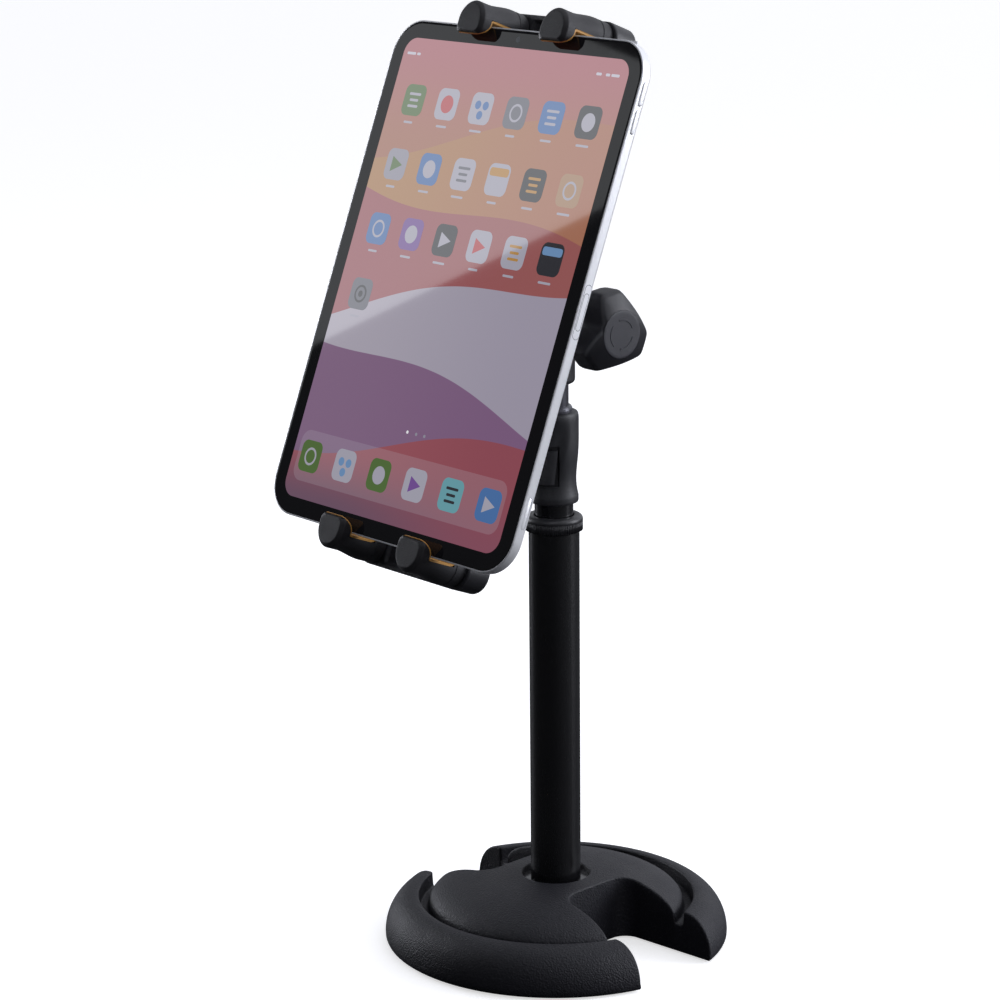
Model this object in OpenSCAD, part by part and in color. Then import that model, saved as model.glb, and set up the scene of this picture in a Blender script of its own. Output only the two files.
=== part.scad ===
// Desk teleprompter: an iron foot, a height-adjustable pole, and a tilting spring-jaw
// holder that carries a tablet as the reading screen. Millimetres, +Z up, with the
// origin at the middle of the foot's underside.

/* [Foot] */
// Outer radius of the foot
base_r = 86; // [80:1:95]
// Height of the hub above the floor
hub_top = 33.5; // [31:0.5:36]
// Half width of each U notch, 60 mm from the pole
notch_half = 23.8; // [20:0.1:26]
// Distance from the pole axis to the end wall of a notch
notch_end = 26.5; // [25:0.5:32]
// Corner radius at the end of a notch
notch_corner = 9; // [5:0.5:12]
// Angle that each notch wall opens outward
notch_flare = 3; // [0:0.5:6]
// Direction of the notches, turned from the X axis
notch_turn = 4; // [0:1:10]
// Thickness of the rubber floor pad
pad_t = 2.5; // [2:0.1:4]

/* [Pole] */
// Outer radius of the fixed tube
tube_r = 12.5; // [12:0.1:13]
// Wall of the fixed tube
tube_wall = 1.5; // [1:0.1:2]
// Height of the fixed tube's upper end
tube_top = 209.5; // [190:0.5:230]
// Outer radius of the sliding inner tube
neck_r = 9.5; // [9:0.1:9.6]
// Outer radius of the clutch collar
collar_r = 14.5; // [13.5:0.1:16]
// Height of the grip's lower rim
grip_low = 225; // [224:0.5:227]
// Height of the stem's shoulder, where the head screws on
stem_top = 283.6; // [282:0.1:285]

/* [Head] */
// Height of the tilt axis
tilt_z = 314.3; // [312:0.1:318]
// Backward lean of the tablet
tilt_back = 21.14; // [15:0.01:25]
// Largest radius of the knob's lobes
knob_r = 21; // [18:0.5:22]
// Distance from the pole axis to the back of the knob
knob_back = 28; // [28:0.5:30]
// Distance from the pole axis to the front of the knob
knob_front = 49; // [46:0.5:50]
// Turn of the knob's first lobe from the back
knob_turn = 98; // [0:1:120]

/* [Holder] */
// Distance from the tilt axis to the screen's surface
screen_gap = 68.1; // [66:0.1:70]
// Distance from the middle of the holder to each hook
hook_u = 29.5; // [26:0.5:32]
// Width of a hook
hook_w = 18.8; // [16:0.1:20]
// Half length of a crossbar
crossbar_half = 41; // [38:0.5:46]
// Upward offset of the holder's middle from the tablet's middle
grip_shift = 0.5; // [0.3:0.1:0.6]
// Thickness of a hook liner
liner_t = 1; // [0.8:0.1:1.2]

/* [Tablet] */
// Width of the tablet
tablet_w = 178.5; // [170:0.5:182]
// Height of the tablet
tablet_h = 247.6; // [247:0.1:248]
// Thickness of the tablet
tablet_t = 5.9; // [5.5:0.1:6.3]
// Corner radius of the tablet
tablet_corner = 18; // [14:0.5:20]
// Width of the bezel round the display
bezel = 9; // [7:0.5:11]

/* [Hidden] */
$fn = 64;

// How far a cutting shape runs past the solid it cuts
cut = 1;
// Gap between a sliding or turning part and its neighbour
slip = 0.3;

// Foot
casting_low = 1;
recess_r = 17;
recess_floor = 28.5;
shelf_z = 14;
rim_mid_r = 70.5;
rim_low_z = 3.5;
rim_rise = 19;
dome_r = 63.8;
dome_low = 19;
groove_z = 15;
pad_inset = 4;
bolt_pocket_r = 8.8;
bolt_shelf = 10;

// Pole
tube_bore = tube_r - tube_wall;
ferrule_low = 194;
ferrule_flange = 0.8;
ferrule_thread_r = 11.6;
ferrule_top = 216;
bush_r = 10.7;
bush_low = 212;
collar_low = tube_top + ferrule_flange + 0.4;
band_top = 216;
collar_top = 218.5;
inner_wall = 1.2;
inner_low = 62;
inner_top = 262;
spigot_r = neck_r - inner_wall - 0.05;
spigot_low = 250;
stem_r = 7.4;
stud_r = 6;
stud_top = 297;
washer_low = 270;
grip_high = 270;
lock_low = 38;
lock_r = tube_bore - slip;
cavity_r = 7;
shoe_low = 42;
shoe_high = 56;
rod_r = 1.5;
rod_disc_low = 245.3;
rod_disc_top = 246.8;
rod_top = 248.8;
rod_disc_r = 6.8;
pin_y = -12;
pin_z = 258;
lever_low = 236;
lever_top = 252;

// Head
ear_in = 7.6;
ear_out = 12.2;
ear_r = 11;
bolt_r = 3;
tongue_half = 6.6;
tongue_r = 10;
crown_low = 298;
crown_top = 303.3;
neck_arm_r = 6.3;
roll_r = 6;
boss_low = 24;
floor_low = 30;
pocket_floor = 30.4;
rail_floor = 35.7;
rail_n = 36.05;
rail_t = 5;
split_n = 41.4;
keeper_n = 42.6;
shell_n = 59.5;
pad_n = 61.7;
shell_u = 24;
shell_v = 62;

// Rack and pinion
module_mm = 1;
pinion_teeth = 12;
pitch_r = module_mm * pinion_teeth / 2;
rack_pitch = PI * module_mm;
rail_in = pitch_r + 0.9;
rail_w = 12;
rail_tail = 45;

// Hooks, as heights above the middle of the holder
head_low = 117.7;
head_mid = 123.8;
floor_v = 125;
boss_v = 126.7;
boss_r = 9.7;
hook_front = 7.5;
hook_back = -22.5;
bar_front = -22.5;
bar_back = -36;
bar_low = 117;
bar_high = 136.4;

// Tablet layers, as depths below the glass surface
glass_t = 0.9;
panel_t = 1.1;
shell_wall = 0.9;
rim_w = 0.75;

// ---- placing ----

// The tilting frame: X across, Z up the screen and -Y out of it, from the tilt axis
module tilted() {
    translate([0, 0, tilt_z]) rotate([-tilt_back, 0, 0]) children();
}

// A flat shape of across and up, given thickness from n0 to n1 towards the reader
module slab(n0, n1) {
    translate([0, -n0, 0]) rotate([90, 0, 0]) linear_extrude(n1 - n0) children();
}

// A side profile of [-out, up] points, given a width across
module side(w) {
    translate([-w / 2, 0, 0]) rotate([90, 0, 90]) linear_extrude(w) children();
}

// A cylinder along X from x0 to x1
module rod_x(x0, x1, r) {
    translate([x0, 0, 0]) rotate([0, 90, 0]) cylinder(r = r, h = x1 - x0);
}

// A rounded rectangle from arcs and squares, with its middle at the origin
module round_rect(w, h, r) {
    square([w - 2 * r, h], center = true);
    square([w, h - 2 * r], center = true);
    for (sx = [-1, 1], sy = [-1, 1])
        translate([sx * (w / 2 - r), sy * (h / 2 - r)]) circle(r = r);
}

// A ring about Z
module ring(z0, z1, r_out, r_in) {
    translate([0, 0, z0]) difference() {
        cylinder(r = r_out, h = z1 - z0);
        translate([0, 0, -cut]) cylinder(r = r_in, h = z1 - z0 + 2 * cut);
    }
}

// One jaw's frame: side is 1 for the upper jaw and -1 for the lower
module jaw(s) {
    tilted() translate([0, -screen_gap, grip_shift]) mirror([0, 0, s > 0 ? 0 : 1])
        children();
}

// ---- foot ----

// Outline of one notch, grown by k: flared walls with rounded inner corners
function notch_y(x, k) = notch_half + k + (x - 60) * tan(notch_flare);

module notch_outline(k) {
    e = notch_end - k;
    c = notch_corner;
    far = base_r + 10;
    y_c = notch_y(e + c, k) - c;
    polygon([
        [e + c, notch_y(e + c, k)], [far, notch_y(far, k)],
        [far, -notch_y(far, k)], [e + c, -notch_y(e + c, k)]
    ]);
    translate([e, -y_c]) square([c + 1, 2 * y_c]);
    for (s = [-1, 1]) translate([e + c, s * y_c]) circle(r = c);
}

module notches(k, z0, z1) {
    for (a = [0, 180])
        rotate([0, 0, notch_turn + a]) translate([0, 0, z0])
            linear_extrude(z1 - z0) notch_outline(k);
}

// Half section of the casting: domed middle, ring groove and rounded rim
dome_points = [for (i = [0:10]) let (r = recess_r + (dome_r - 0.5 - recess_r) * i / 10)
    [r, dome_low + (hub_top - dome_low) * pow(1 - pow(r / dome_r, 3.2), 0.62)]];
rim_points = [for (a = [86:-8:-10])
    [rim_mid_r + (base_r - rim_mid_r) * cos(a), rim_low_z + rim_rise * sin(a)]];

module casting_section() {
    polygon(concat(
        [[0, casting_low], [0, hub_top], [recess_r, hub_top]],
        dome_points,
        [[dome_r, dome_low], [dome_r + 0.4, groove_z + 1], [dome_r + 1.4, groove_z]],
        [[67.4, groove_z], [68.6, groove_z + 0.8], [69, 20.5], [69.8, 22]],
        rim_points,
        [[base_r - 1.2, casting_low]]
    ));
}

module base_casting() {
    color("#26272b") difference() {
        rotate_extrude($fn = 128) casting_section();
        notches(0, -cut, hub_top + cut);
        translate([0, 0, -cut]) difference() {
            cylinder(r = base_r - pad_inset + slip, h = pad_t + cut, $fn = 128);
            translate([0, 0, -cut]) notches(pad_inset - slip, 0, pad_t + 3 * cut);
        }
        translate([0, 0, -cut]) cylinder(r = bolt_pocket_r, h = bolt_shelf + cut);
        cylinder(r = 4.2, h = shelf_z + cut);
        translate([0, 0, shelf_z]) cylinder(r = tube_r, h = hub_top);
        translate([0, 0, recess_floor]) cylinder(r = recess_r, h = hub_top);
    }
}

module base_pad() {
    color("#1b1b1c") difference() {
        cylinder(r = base_r - pad_inset, h = pad_t, $fn = 128);
        notches(pad_inset, -cut, pad_t + cut);
    }
}

module foot_plug() {
    color("#8c8f94") ring(shelf_z, 34, tube_bore, 4.05);
}

module foot_bolt() {
    color("#b4b7bb") {
        translate([0, 0, 9]) cylinder(r = 8, h = 1);
        translate([0, 0, 3.2]) cylinder(r = 7.5, h = 5.8, $fn = 6);
        translate([0, 0, 9]) cylinder(r = 4, h = 23);
    }
}

module trim_ring() {
    color("#5a5c60") ring(recess_floor, 30.2, recess_r - 0.1, tube_r + 0.02);
}

module outer_tube() {
    color("#17181a") ring(shelf_z, tube_top, tube_r, tube_bore);
}

module tube_ferrule() {
    color("#8c8f94") difference() {
        union() {
            translate([0, 0, ferrule_low]) cylinder(r = tube_bore, h = tube_top - ferrule_low);
            translate([0, 0, tube_top]) cylinder(r = tube_r, h = ferrule_flange);
            translate([0, 0, tube_top])
                cylinder(r = ferrule_thread_r, h = ferrule_top - tube_top);
        }
        translate([0, 0, ferrule_low - cut]) cylinder(r = neck_r + 0.4, h = 40);
        translate([0, 0, bush_low]) cylinder(r = bush_r, h = 10);
    }
}

module guide_bush() {
    color("#d8d4c8") ring(bush_low, ferrule_top, bush_r, neck_r + 0.06);
}

// ---- clutch collar ----

module clutch_collar() {
    color("#1c1d1f") difference() {
        rotate_extrude() polygon(concat(
            [[0, collar_low], [collar_r - 0.6, collar_low], [collar_r - 0.3, collar_low + 0.5]],
            [[collar_r - 0.3, band_top - 0.4], [collar_r - 0.7, band_top]],
            [for (a = [0:15:90]) [collar_r - 2.6 + 1.9 * cos(a), collar_top - 1.9 + 1.9 * sin(a)]],
            [[0, collar_top]]
        ));
        translate([0, 0, collar_low - cut])
            cylinder(r = ferrule_thread_r + 0.35, h = band_top + 0.4 - collar_low + cut);
        cylinder(r = neck_r + 0.4, h = 240);
    }
}

// ---- mast ----

module inner_tube() {
    color("#0f0f10") difference() {
        ring(inner_low, inner_top, neck_r, neck_r - inner_wall);
        translate([-2.6, -neck_r - cut, 239]) cube([5.2, neck_r, 11.5]);
    }
}

// Half section of the grip: flared lower rim, waist, and straight upper part
grip_points = [
    [11.4, grip_low], [12.1, grip_low + 0.9], [12.1, grip_low + 3.2], [11.5, 230.5],
    [11.1, 233.5], [11, 236.5], [11.15, 240], [11.6, 245], [12.05, 250], [12.3, 255],
    [12.3, 267.6], [11.9, 269.2], [11.1, grip_high]
];

module grip_body() {
    color("#232427") difference() {
        union() {
            rotate_extrude() polygon(concat([[0, grip_low]], grip_points, [[0, grip_high]]));
            intersection() {
                translate([-7.2, -15, 253.5]) cube([14.4, 15, 13.5]);
                cylinder(r = 15.6, h = 300);
            }
        }
        translate([0, 0, grip_low - cut]) cylinder(r = neck_r, h = inner_top - grip_low + cut);
        cylinder(r = stem_r + 0.02, h = 300);
        // Room for the squeeze lever's shell
        difference() {
            translate([-16, -20, lever_low - 1.4])
                cube([32, 20 - 2.6, lever_top + 2.5 - lever_low]);
            cylinder(r = neck_r + 0.45, h = 300);
        }
        // Slot for the lever's tongue
        translate([-4.4, -20, lever_top - 3]) cube([8.8, 21 - neck_r, 13]);
        translate([0, pin_y, pin_z]) rod_x(-7.4, 7.4, 1.25);
        translate([-2.6, -neck_r - 2, 239]) cube([5.2, 4, 11.5]);
    }
}

module stem() {
    color("#2a2b2d") {
        translate([0, 0, spigot_low]) cylinder(r = spigot_r, h = inner_top - spigot_low);
        translate([0, 0, inner_top]) cylinder(r = stem_r, h = stem_top - inner_top);
        translate([0, 0, stem_top]) cylinder(r = stud_r, h = stud_top - stem_top);
    }
}

module stem_washer() {
    color("#2c2d30") difference() {
        translate([0, 0, washer_low]) rotate_extrude() polygon(concat(
            [[0, 0], [9.3, 0], [9.3, 0.6]],
            [for (a = [10:16:90]) [8 + 1.3 * cos(a), 0.6 + 2.4 * sin(a)]],
            [[0, 3]]
        ));
        cylinder(r = stem_r + 0.05, h = 300);
    }
}

// Plug at the foot of the inner tube, with three windows for the brake shoes
module lock_body() {
    color("#c9c5b8") difference() {
        union() {
            translate([0, 0, lock_low]) cylinder(r = lock_r, h = inner_low - lock_low);
            translate([0, 0, inner_low]) cylinder(r = spigot_r, h = 12);
        }
        translate([0, 0, 40]) cylinder(r = cavity_r, h = inner_low - 4 - 40);
        cylinder(r = rod_r + 0.4, h = 100);
        for (a = [90, 210, 330]) rotate([0, 0, a])
            translate([0, -4, shoe_low - 0.2]) cube([12, 8, shoe_high - shoe_low + 0.4]);
    }
}

module lock_shoes() {
    color("#6e4a2c") difference() {
        intersection() {
            ring(shoe_low, shoe_high, lock_r - 0.05, 2);
            for (a = [90, 210, 330]) rotate([0, 0, a])
                translate([0, -3.8, 0]) cube([12, 7.6, 100]);
        }
        translate([0, 0, 41.5]) cylinder(r1 = 4.2, r2 = 6.2, h = 14);
        translate([0, 0, 55.5]) cylinder(r = 6.2, h = 2);
    }
}

module trigger_pin() {
    color("#b4b7bb") translate([0, pin_y, pin_z]) rod_x(-7.2, 7.2, 1.2);
}

// Return spring between the pull rod's disc and the stem
module rod_spring() {
    color("#9a9da1") for (z = [0, 0.95, 1.9])
        translate([0, 0, rod_disc_top + 0.4 + z]) rotate_extrude()
            translate([3.4, 0]) circle(r = 0.35, $fn = 16);
}

// ---- squeeze lever ----

module trigger() {
    color("#2b2c30") difference() {
        union() {
            // Curved paddle that the fingers pull
            intersection() {
                rotate_extrude() polygon([
                    [12.9, lever_low], [14.6, lever_low], [15, lever_low + 1],
                    [14.3, 242], [13.9, 246], [13.4, lever_top], [11.5, lever_top],
                    [11.3, 250]
                ]);
                translate([-10.6, -20, 0]) cube([21.2, 14.2, 400]);
            }
            // Tongue up to the pin
            translate([-4, -14.4, 246]) cube([8, 2.8, 12]);
            translate([0, pin_y, pin_z]) rod_x(-4, 4, 2.1);
            // Finger that reaches the pull rod's disc
            translate([-1.9, -13, 242.6]) cube([3.8, 8.8, 2.4]);
        }
        translate([0, pin_y, pin_z]) rod_x(-5, 5, 1.25);
    }
}

module lock_rod() {
    color("#9a9da1") {
        translate([0, 0, 46]) cylinder(r = rod_r, h = rod_top - 46);
        translate([0, 0, rod_disc_low]) cylinder(r = rod_disc_r, h = rod_disc_top - rod_disc_low);
        translate([0, 0, 42.2]) cylinder(r1 = 3.9, r2 = 5.8, h = 13);
    }
}

// ---- tilting head ----

module hub_fork() {
    color("#202124") difference() {
        union() {
            translate([0, 0, stem_top + slip]) rotate_extrude() polygon(concat(
                [[0, 0]],
                [for (a = [-90:18:0]) [8.4 + 2.2 * cos(a), 2.2 + 2.2 * sin(a)]],
                [[10.6, 17], [0, 17]]
            ));
            translate([-ear_out, -8, crown_low]) cube([2 * ear_out, 16, crown_top - crown_low]);
            for (s = [-1, 1]) translate([0, 0, tilt_z]) {
                rod_x(s > 0 ? ear_in : -ear_out, s > 0 ? ear_out : -ear_in, ear_r);
                translate([s > 0 ? ear_in : -ear_out, -8, crown_low - tilt_z])
                    cube([ear_out - ear_in, 16, tilt_z - crown_low]);
            }
        }
        translate([0, 0, stem_top]) cylinder(r = stud_r + 0.08, h = 14.3);
        translate([0, 0, tilt_z]) rod_x(-20, 20, bolt_r + 0.05);
    }
}

module tilt_bolt() {
    color("#8c8f94") translate([0, 0, tilt_z]) {
        rod_x(-ear_out, 43, bolt_r);
        rod_x(-16.2, -ear_out, 5.5);
    }
}

module knob_spacer() {
    color("#17181a") translate([0, 0, tilt_z]) difference() {
        rod_x(ear_out, knob_back - slip, 7);
        rod_x(0, 40, bolt_r + 0.05);
    }
}

module friction_washers() {
    color("#d8d4c8") translate([0, 0, tilt_z]) difference() {
        for (s = [-1, 1]) rod_x(s > 0 ? tongue_half + slip : -ear_in,
                                s > 0 ? ear_in : -tongue_half - slip, 8.5);
        rod_x(-20, 20, bolt_r + 0.1);
    }
}

// Knob outline of three blunt lobes with hollow flanks
module lobes(grow) {
    polygon([for (a = [0:5:355])
        let (r = knob_r - 4.7 + grow + 4 * cos(3 * a) + 0.7 * cos(6 * a))
            [r * cos(a), r * sin(a)]]);
}

module knob_frame() {
    translate([0, 0, tilt_z]) rotate([knob_turn, 0, 0]) rotate([90, 0, 90]) children();
}

module tilt_knob() {
    color("#1f2023") difference() {
        knob_frame() {
            translate([0, 0, knob_back]) linear_extrude(3) lobes(-2.5);
            translate([0, 0, knob_back + 3]) linear_extrude(knob_front - knob_back - 6) lobes(0);
            translate([0, 0, knob_front - 3]) linear_extrude(1.5) lobes(-1.2);
            translate([0, 0, knob_front - 1.5]) linear_extrude(1.5) lobes(-2.6);
        }
        translate([0, 0, tilt_z]) {
            rod_x(knob_back - cut, 43.5, 6);
            rod_x(knob_front - 1.8, knob_front + cut, 11.6);
        }
    }
}

module knob_insert() {
    color("#b5923f") translate([0, 0, tilt_z]) difference() {
        rod_x(knob_back, 43.5, 6);
        rod_x(0, 50, bolt_r + 0.06);
    }
}

module knob_cap() {
    color("#2c2d31") translate([0, 0, tilt_z]) rod_x(knob_front - 1.8, knob_front + 0.3, 11.5);
}

// ---- tilt arm ----

module tilt_block() {
    color("#202124") tilted() difference() {
        union() {
            rod_x(-tongue_half, tongue_half, tongue_r);
            slab(4, boss_low - slip) circle(r = neck_arm_r);
            slab(21.5, boss_low - slip) circle(r = 11);
            slab(20, pocket_floor + 0.2) circle(r = roll_r);
            slab(pocket_floor, 34.8) circle(r = 4);
        }
        rod_x(-20, 20, bolt_r + 0.06);
    }
}

module roll_retainer() {
    color("#9a9da1") tilted() slab(pocket_floor + 0.3, 34) difference() {
        circle(r = 9);
        circle(r = 4.02);
    }
}

// ---- cradle behind the tablet ----

module cradle() {
    tilted() translate([0, 0, grip_shift]) children();
}

// Channel that one rail slides in: s is 1 for the upper rail and -1 for the lower
module rail_channel(s) {
    x0 = pitch_r - 0.8;
    wide = rail_in + rail_w + 0.35 - x0;
    translate([s > 0 ? x0 : -x0 - wide, -shell_v - 5]) square([wide, 2 * shell_v + 10]);
}

screw_spots = [for (sx = [-1, 1], sv = [-1, 1]) [sx * 21.4, sv * 50]];

module cradle_rear() {
    color("#202124") cradle() difference() {
        union() {
            slab(floor_low, split_n) round_rect(2 * shell_u, 2 * shell_v, 9);
            slab(boss_low, floor_low) translate([0, -grip_shift]) circle(r = 14);
        }
        for (s = [-1, 1]) slab(rail_floor, split_n + cut) rail_channel(s);
        slab(rail_floor, split_n + cut) circle(r = rail_in + 1);
        translate([0, 0, -grip_shift]) {
            slab(boss_low - cut, split_n) circle(r = roll_r + 0.06);
            slab(pocket_floor, rail_floor + 0.1) circle(r = 9.4);
        }
        for (p = screw_spots) slab(floor_low - cut, split_n + cut) translate(p) circle(r = 1.3);
        for (p = screw_spots) slab(floor_low - cut, 32) translate(p) circle(r = 2.5);
    }
}

module rail_keeper() {
    color("#8c8f94") cradle() {
        slab(split_n, keeper_n) difference() {
            round_rect(2 * shell_u - 5.6, 2 * shell_v - 5.6, 6.5);
            for (p = screw_spots) translate(p) circle(r = 3.2);
        }
        slab(rail_floor + 0.4, split_n + 0.1) circle(r = 2);
        slab(keeper_n, 46) circle(r = 2);
    }
}

module cradle_front() {
    color("#232427") cradle() difference() {
        slab(split_n, shell_n) round_rect(2 * shell_u, 2 * shell_v, 9);
        slab(split_n - cut, shell_n - 2.5) difference() {
            round_rect(2 * shell_u - 5, 2 * shell_v - 5, 6.5);
            for (p = screw_spots) translate(p) circle(r = 3);
        }
        for (p = screw_spots) slab(split_n - cut, 52) translate(p) circle(r = 1.25);
    }
}

module back_pad() {
    color("#1b1b1c") cradle() slab(shell_n, pad_n) round_rect(38, 100, 6);
}

module cradle_screws() {
    color("#8c8f94") cradle() for (p = screw_spots) {
        slab(floor_low + 0.2, 32) translate(p) circle(r = 2.3);
        slab(31.9, 50) translate(p) circle(r = 1.2);
    }
}

// Flat spiral that pulls the jaws together through the pinion's hub
spiral_turns = 2.5;
spiral_in = 5.2;
spiral_out = 13;
function spiral(t, k) = let (r = spiral_in + (spiral_out - spiral_in) * t + k)
    [r * cos(360 * spiral_turns * t), r * sin(360 * spiral_turns * t)];

module jaw_spring() {
    color("#9a9da1") cradle() slab(43.2, 46.2) polygon(concat(
        [for (i = [0:60]) spiral(i / 60, 0)],
        [for (i = [60:-1:0]) spiral(i / 60, 0.5)]
    ));
}

// Gear outline with slim teeth, so that both racks run with play
tooth_half = 0.62;
module gear_outline() {
    circle(r = pitch_r - 1.05, $fn = 48);
    for (i = [0:pinion_teeth - 1]) rotate(360 * i / pinion_teeth) polygon([
        [pitch_r - 1.4, tooth_half + 0.5], [pitch_r - 0.6, tooth_half + 0.12],
        [pitch_r, tooth_half - 0.12], [pitch_r + 0.45, tooth_half - 0.34],
        [pitch_r + 0.45, -tooth_half + 0.34], [pitch_r, -tooth_half + 0.12],
        [pitch_r - 0.6, -tooth_half - 0.12], [pitch_r - 1.4, -tooth_half - 0.5]
    ]);
}

module jaw_pinion() {
    color("#d8d4c8") cradle() slab(rail_n, rail_n + rail_t) difference() {
        gear_outline();
        circle(r = 2.06);
    }
}

// ---- jaws ----

// A rail with rack teeth on its inner edge: v runs outward from the holder's middle
module rail_shape() {
    translate([rail_in, -rail_tail]) square([rail_w, rail_tail + 129]);
    for (i = [-14:14]) translate([0, rack_pitch * (i + 0.5)]) polygon([
        [rail_in + 0.1, -tooth_half - 0.2], [rail_in + 0.1, tooth_half + 0.2],
        [pitch_r - 0.35, 0.28], [pitch_r - 0.35, -0.28]
    ]);
}

module rail_piece(s) {
    jaw(s) translate([0, screen_gap, 0]) slab(rail_n, rail_n + rail_t)
        mirror([s > 0 ? 0 : 1, 0]) rail_shape();
}

module upper_rail() { color("#8c8f94") rail_piece(1); }
module lower_rail() { color("#8c8f94") rail_piece(-1); }

module crossbar(s) {
    jaw(s) difference() {
        slab(bar_back, bar_front) translate([0, (bar_low + bar_high) / 2])
            round_rect(2 * crossbar_half, bar_high - bar_low, 9.6);
        // Pocket that holds the end of the rail
        slab(rail_n - screen_gap, rail_n + rail_t - screen_gap)
            mirror([s > 0 ? 0 : 1, 0]) translate([rail_in, 0]) square([rail_w, 129]);
        // Shallow panel between the hooks
        slab(bar_front - 1.6, bar_front + cut) translate([0, boss_v])
            square([2 * hook_u - hook_w - 2, 13], center = true);
        for (u = [-hook_u, hook_u]) {
            slab(bar_back - cut, bar_front + cut) translate([u, boss_v]) circle(r = 2.05);
            slab(bar_back - cut, bar_back + 2.6) translate([u, boss_v]) circle(r = 4.2);
        }
    }
}

module upper_crossbar() { color("#1c1d1f") crossbar(1); }
module lower_crossbar() { color("#1c1d1f") crossbar(-1); }

// Front outline of a hook's head: flat on the tablet's side and arched outside
module hook_face() {
    soft = 3.4;
    translate([0, head_mid]) circle(r = hook_w / 2);
    translate([-hook_w / 2, head_low + soft]) square([hook_w, head_mid - head_low - soft]);
    translate([-hook_w / 2 + soft, head_low]) square([hook_w - 2 * soft, soft + 1]);
    for (s = [-1, 1]) translate([s * (hook_w / 2 - soft), head_low + soft]) circle(r = soft);
}

// Side line of the tablet's seat, moved out by k: an S-shaped lip, then a flat floor
lip_v = head_low - 0.3;
function lip(t, k) =
    [0.6 + 5.4 * pow(1 - t, 2) + 0.8 * k, lip_v + (floor_v - 0.8 - lip_v) * t + 0.25 * k];
seat_back = -12.5;
function seat(k) = concat(
    [for (i = [0:6]) lip(i / 6, k)],
    [for (a = [0:30:90]) [(0.8 + k) * cos(a) - 0.2, floor_v - 0.8 + (0.8 + k) * sin(a)]],
    [for (a = [90:30:180]) [seat_back + (1.6 + k) * cos(a), floor_v - 1.6 + (1.6 + k) * sin(a)]],
    [[seat_back - 1.6 - k, lip_v + 4]]
);
function flip(points) = [for (p = points) [-p[0], p[1]]];
function reversed(list) = [for (i = [len(list) - 1:-1:0]) list[i]];

module hook(s, u) {
    jaw(s) translate([u, 0, 0]) difference() {
        union() {
            slab(-14.5, hook_front) hook_face();
            slab(hook_back, -13) translate([0, boss_v]) circle(r = boss_r);
        }
        side(40) polygon(flip(concat(
            seat(liner_t),
            [[seat_back - 1.6 - liner_t, 90], [hook_front + 5, 90], [hook_front + 5, lip_v],
             [lip(0, liner_t)[0], lip_v]]
        )));
        slab(hook_back - cut, -14.9) translate([0, boss_v]) circle(r = 1.7);
    }
}

module liner(s, u) {
    jaw(s) translate([u, 0, 0]) side(hook_w - 0.4) polygon(flip(concat(
        seat(0), reversed(seat(liner_t))
    )));
}

module hook_screws(s) {
    jaw(s) for (u = [-hook_u, hook_u]) translate([u, 0, 0]) {
        slab(bar_back + 0.3, bar_back + 2.6) translate([0, boss_v]) circle(r = 3.8);
        slab(bar_back + 2.5, -15.2) translate([0, boss_v]) circle(r = 1.65);
    }
}

module upper_hook_left() { color("#232427") hook(1, -hook_u); }
module upper_hook_right() { color("#232427") hook(1, hook_u); }
module lower_hook_left() { color("#232427") hook(-1, -hook_u); }
module lower_hook_right() { color("#232427") hook(-1, hook_u); }
module upper_liner_left() { color("#c98f2e") liner(1, -hook_u); }
module upper_liner_right() { color("#c98f2e") liner(1, hook_u); }
module lower_liner_left() { color("#c98f2e") liner(-1, -hook_u); }
module lower_liner_right() { color("#c98f2e") liner(-1, hook_u); }
module upper_hook_screws() { color("#8c8f94") hook_screws(1); }
module lower_hook_screws() { color("#8c8f94") hook_screws(-1); }

// ---- tablet ----

// A layer of the tablet between two depths below its glass surface
module layer(d0, d1) {
    tilted() slab(screen_gap - d1, screen_gap - d0) children();
}

button_n = -tablet_t / 2;

// A pill-shaped button in the right edge at height v
module edge_pill(v, long, wide, x0, x1) {
    tilted() translate([x0, -screen_gap - button_n, v]) rotate([90, 0, 90])
        linear_extrude(x1 - x0) round_rect(wide, long, wide / 2 - 0.01);
}

volume_v = [100.6, 87.7];
button_long = 11;
button_wide = 2;
tray_v = -93;
tray_long = 14.5;
tray_wide = 2.2;
power_u = 72;

module tablet_shell() {
    color("#d7d9dc") difference() {
        layer(0.05, tablet_t) round_rect(tablet_w, tablet_h, tablet_corner);
        layer(-cut, tablet_t - shell_wall)
            round_rect(tablet_w - 2 * rim_w, tablet_h - 2 * rim_w, tablet_corner - rim_w);
        for (v = volume_v)
            edge_pill(v, button_long + 0.3, button_wide + 0.3, tablet_w / 2 - 2, tablet_w / 2 + 1);
        edge_pill(tray_v, tray_long + 0.3, tray_wide + 0.3, tablet_w / 2 - 2, tablet_w / 2 + 1);
        tilted() translate([power_u, -screen_gap - button_n, tablet_h / 2 - 2])
            linear_extrude(4) round_rect(button_long + 0.3, button_wide + 0.3, 1.14);
        layer(tablet_t - 2, tablet_t + cut) translate([-72, 106]) circle(r = 5.5);
    }
}

module tablet_glass() {
    color("#0b0b0d") layer(0, glass_t) round_rect(
        tablet_w - 2 * rim_w - 0.04, tablet_h - 2 * rim_w - 0.04, tablet_corner - rim_w);
}

module display_panel() {
    color("#b06a6a") layer(glass_t, glass_t + panel_t)
        round_rect(tablet_w - 2 * bezel, tablet_h - 2 * bezel, 9);
}

module tablet_battery() {
    color("#3a3c40") layer(2.2, 4.9) for (s = [-1, 1]) translate([s * 36, -20])
        square([68, 150], center = true);
}

module tablet_board() {
    color("#1f5a3a") layer(2.2, 3.4) translate([0, 82]) square([120, 30], center = true);
}

module rear_camera() {
    color("#3c3e42") layer(3.6, tablet_t + 1.4) translate([-72, 106]) circle(r = 5.45);
}

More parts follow.
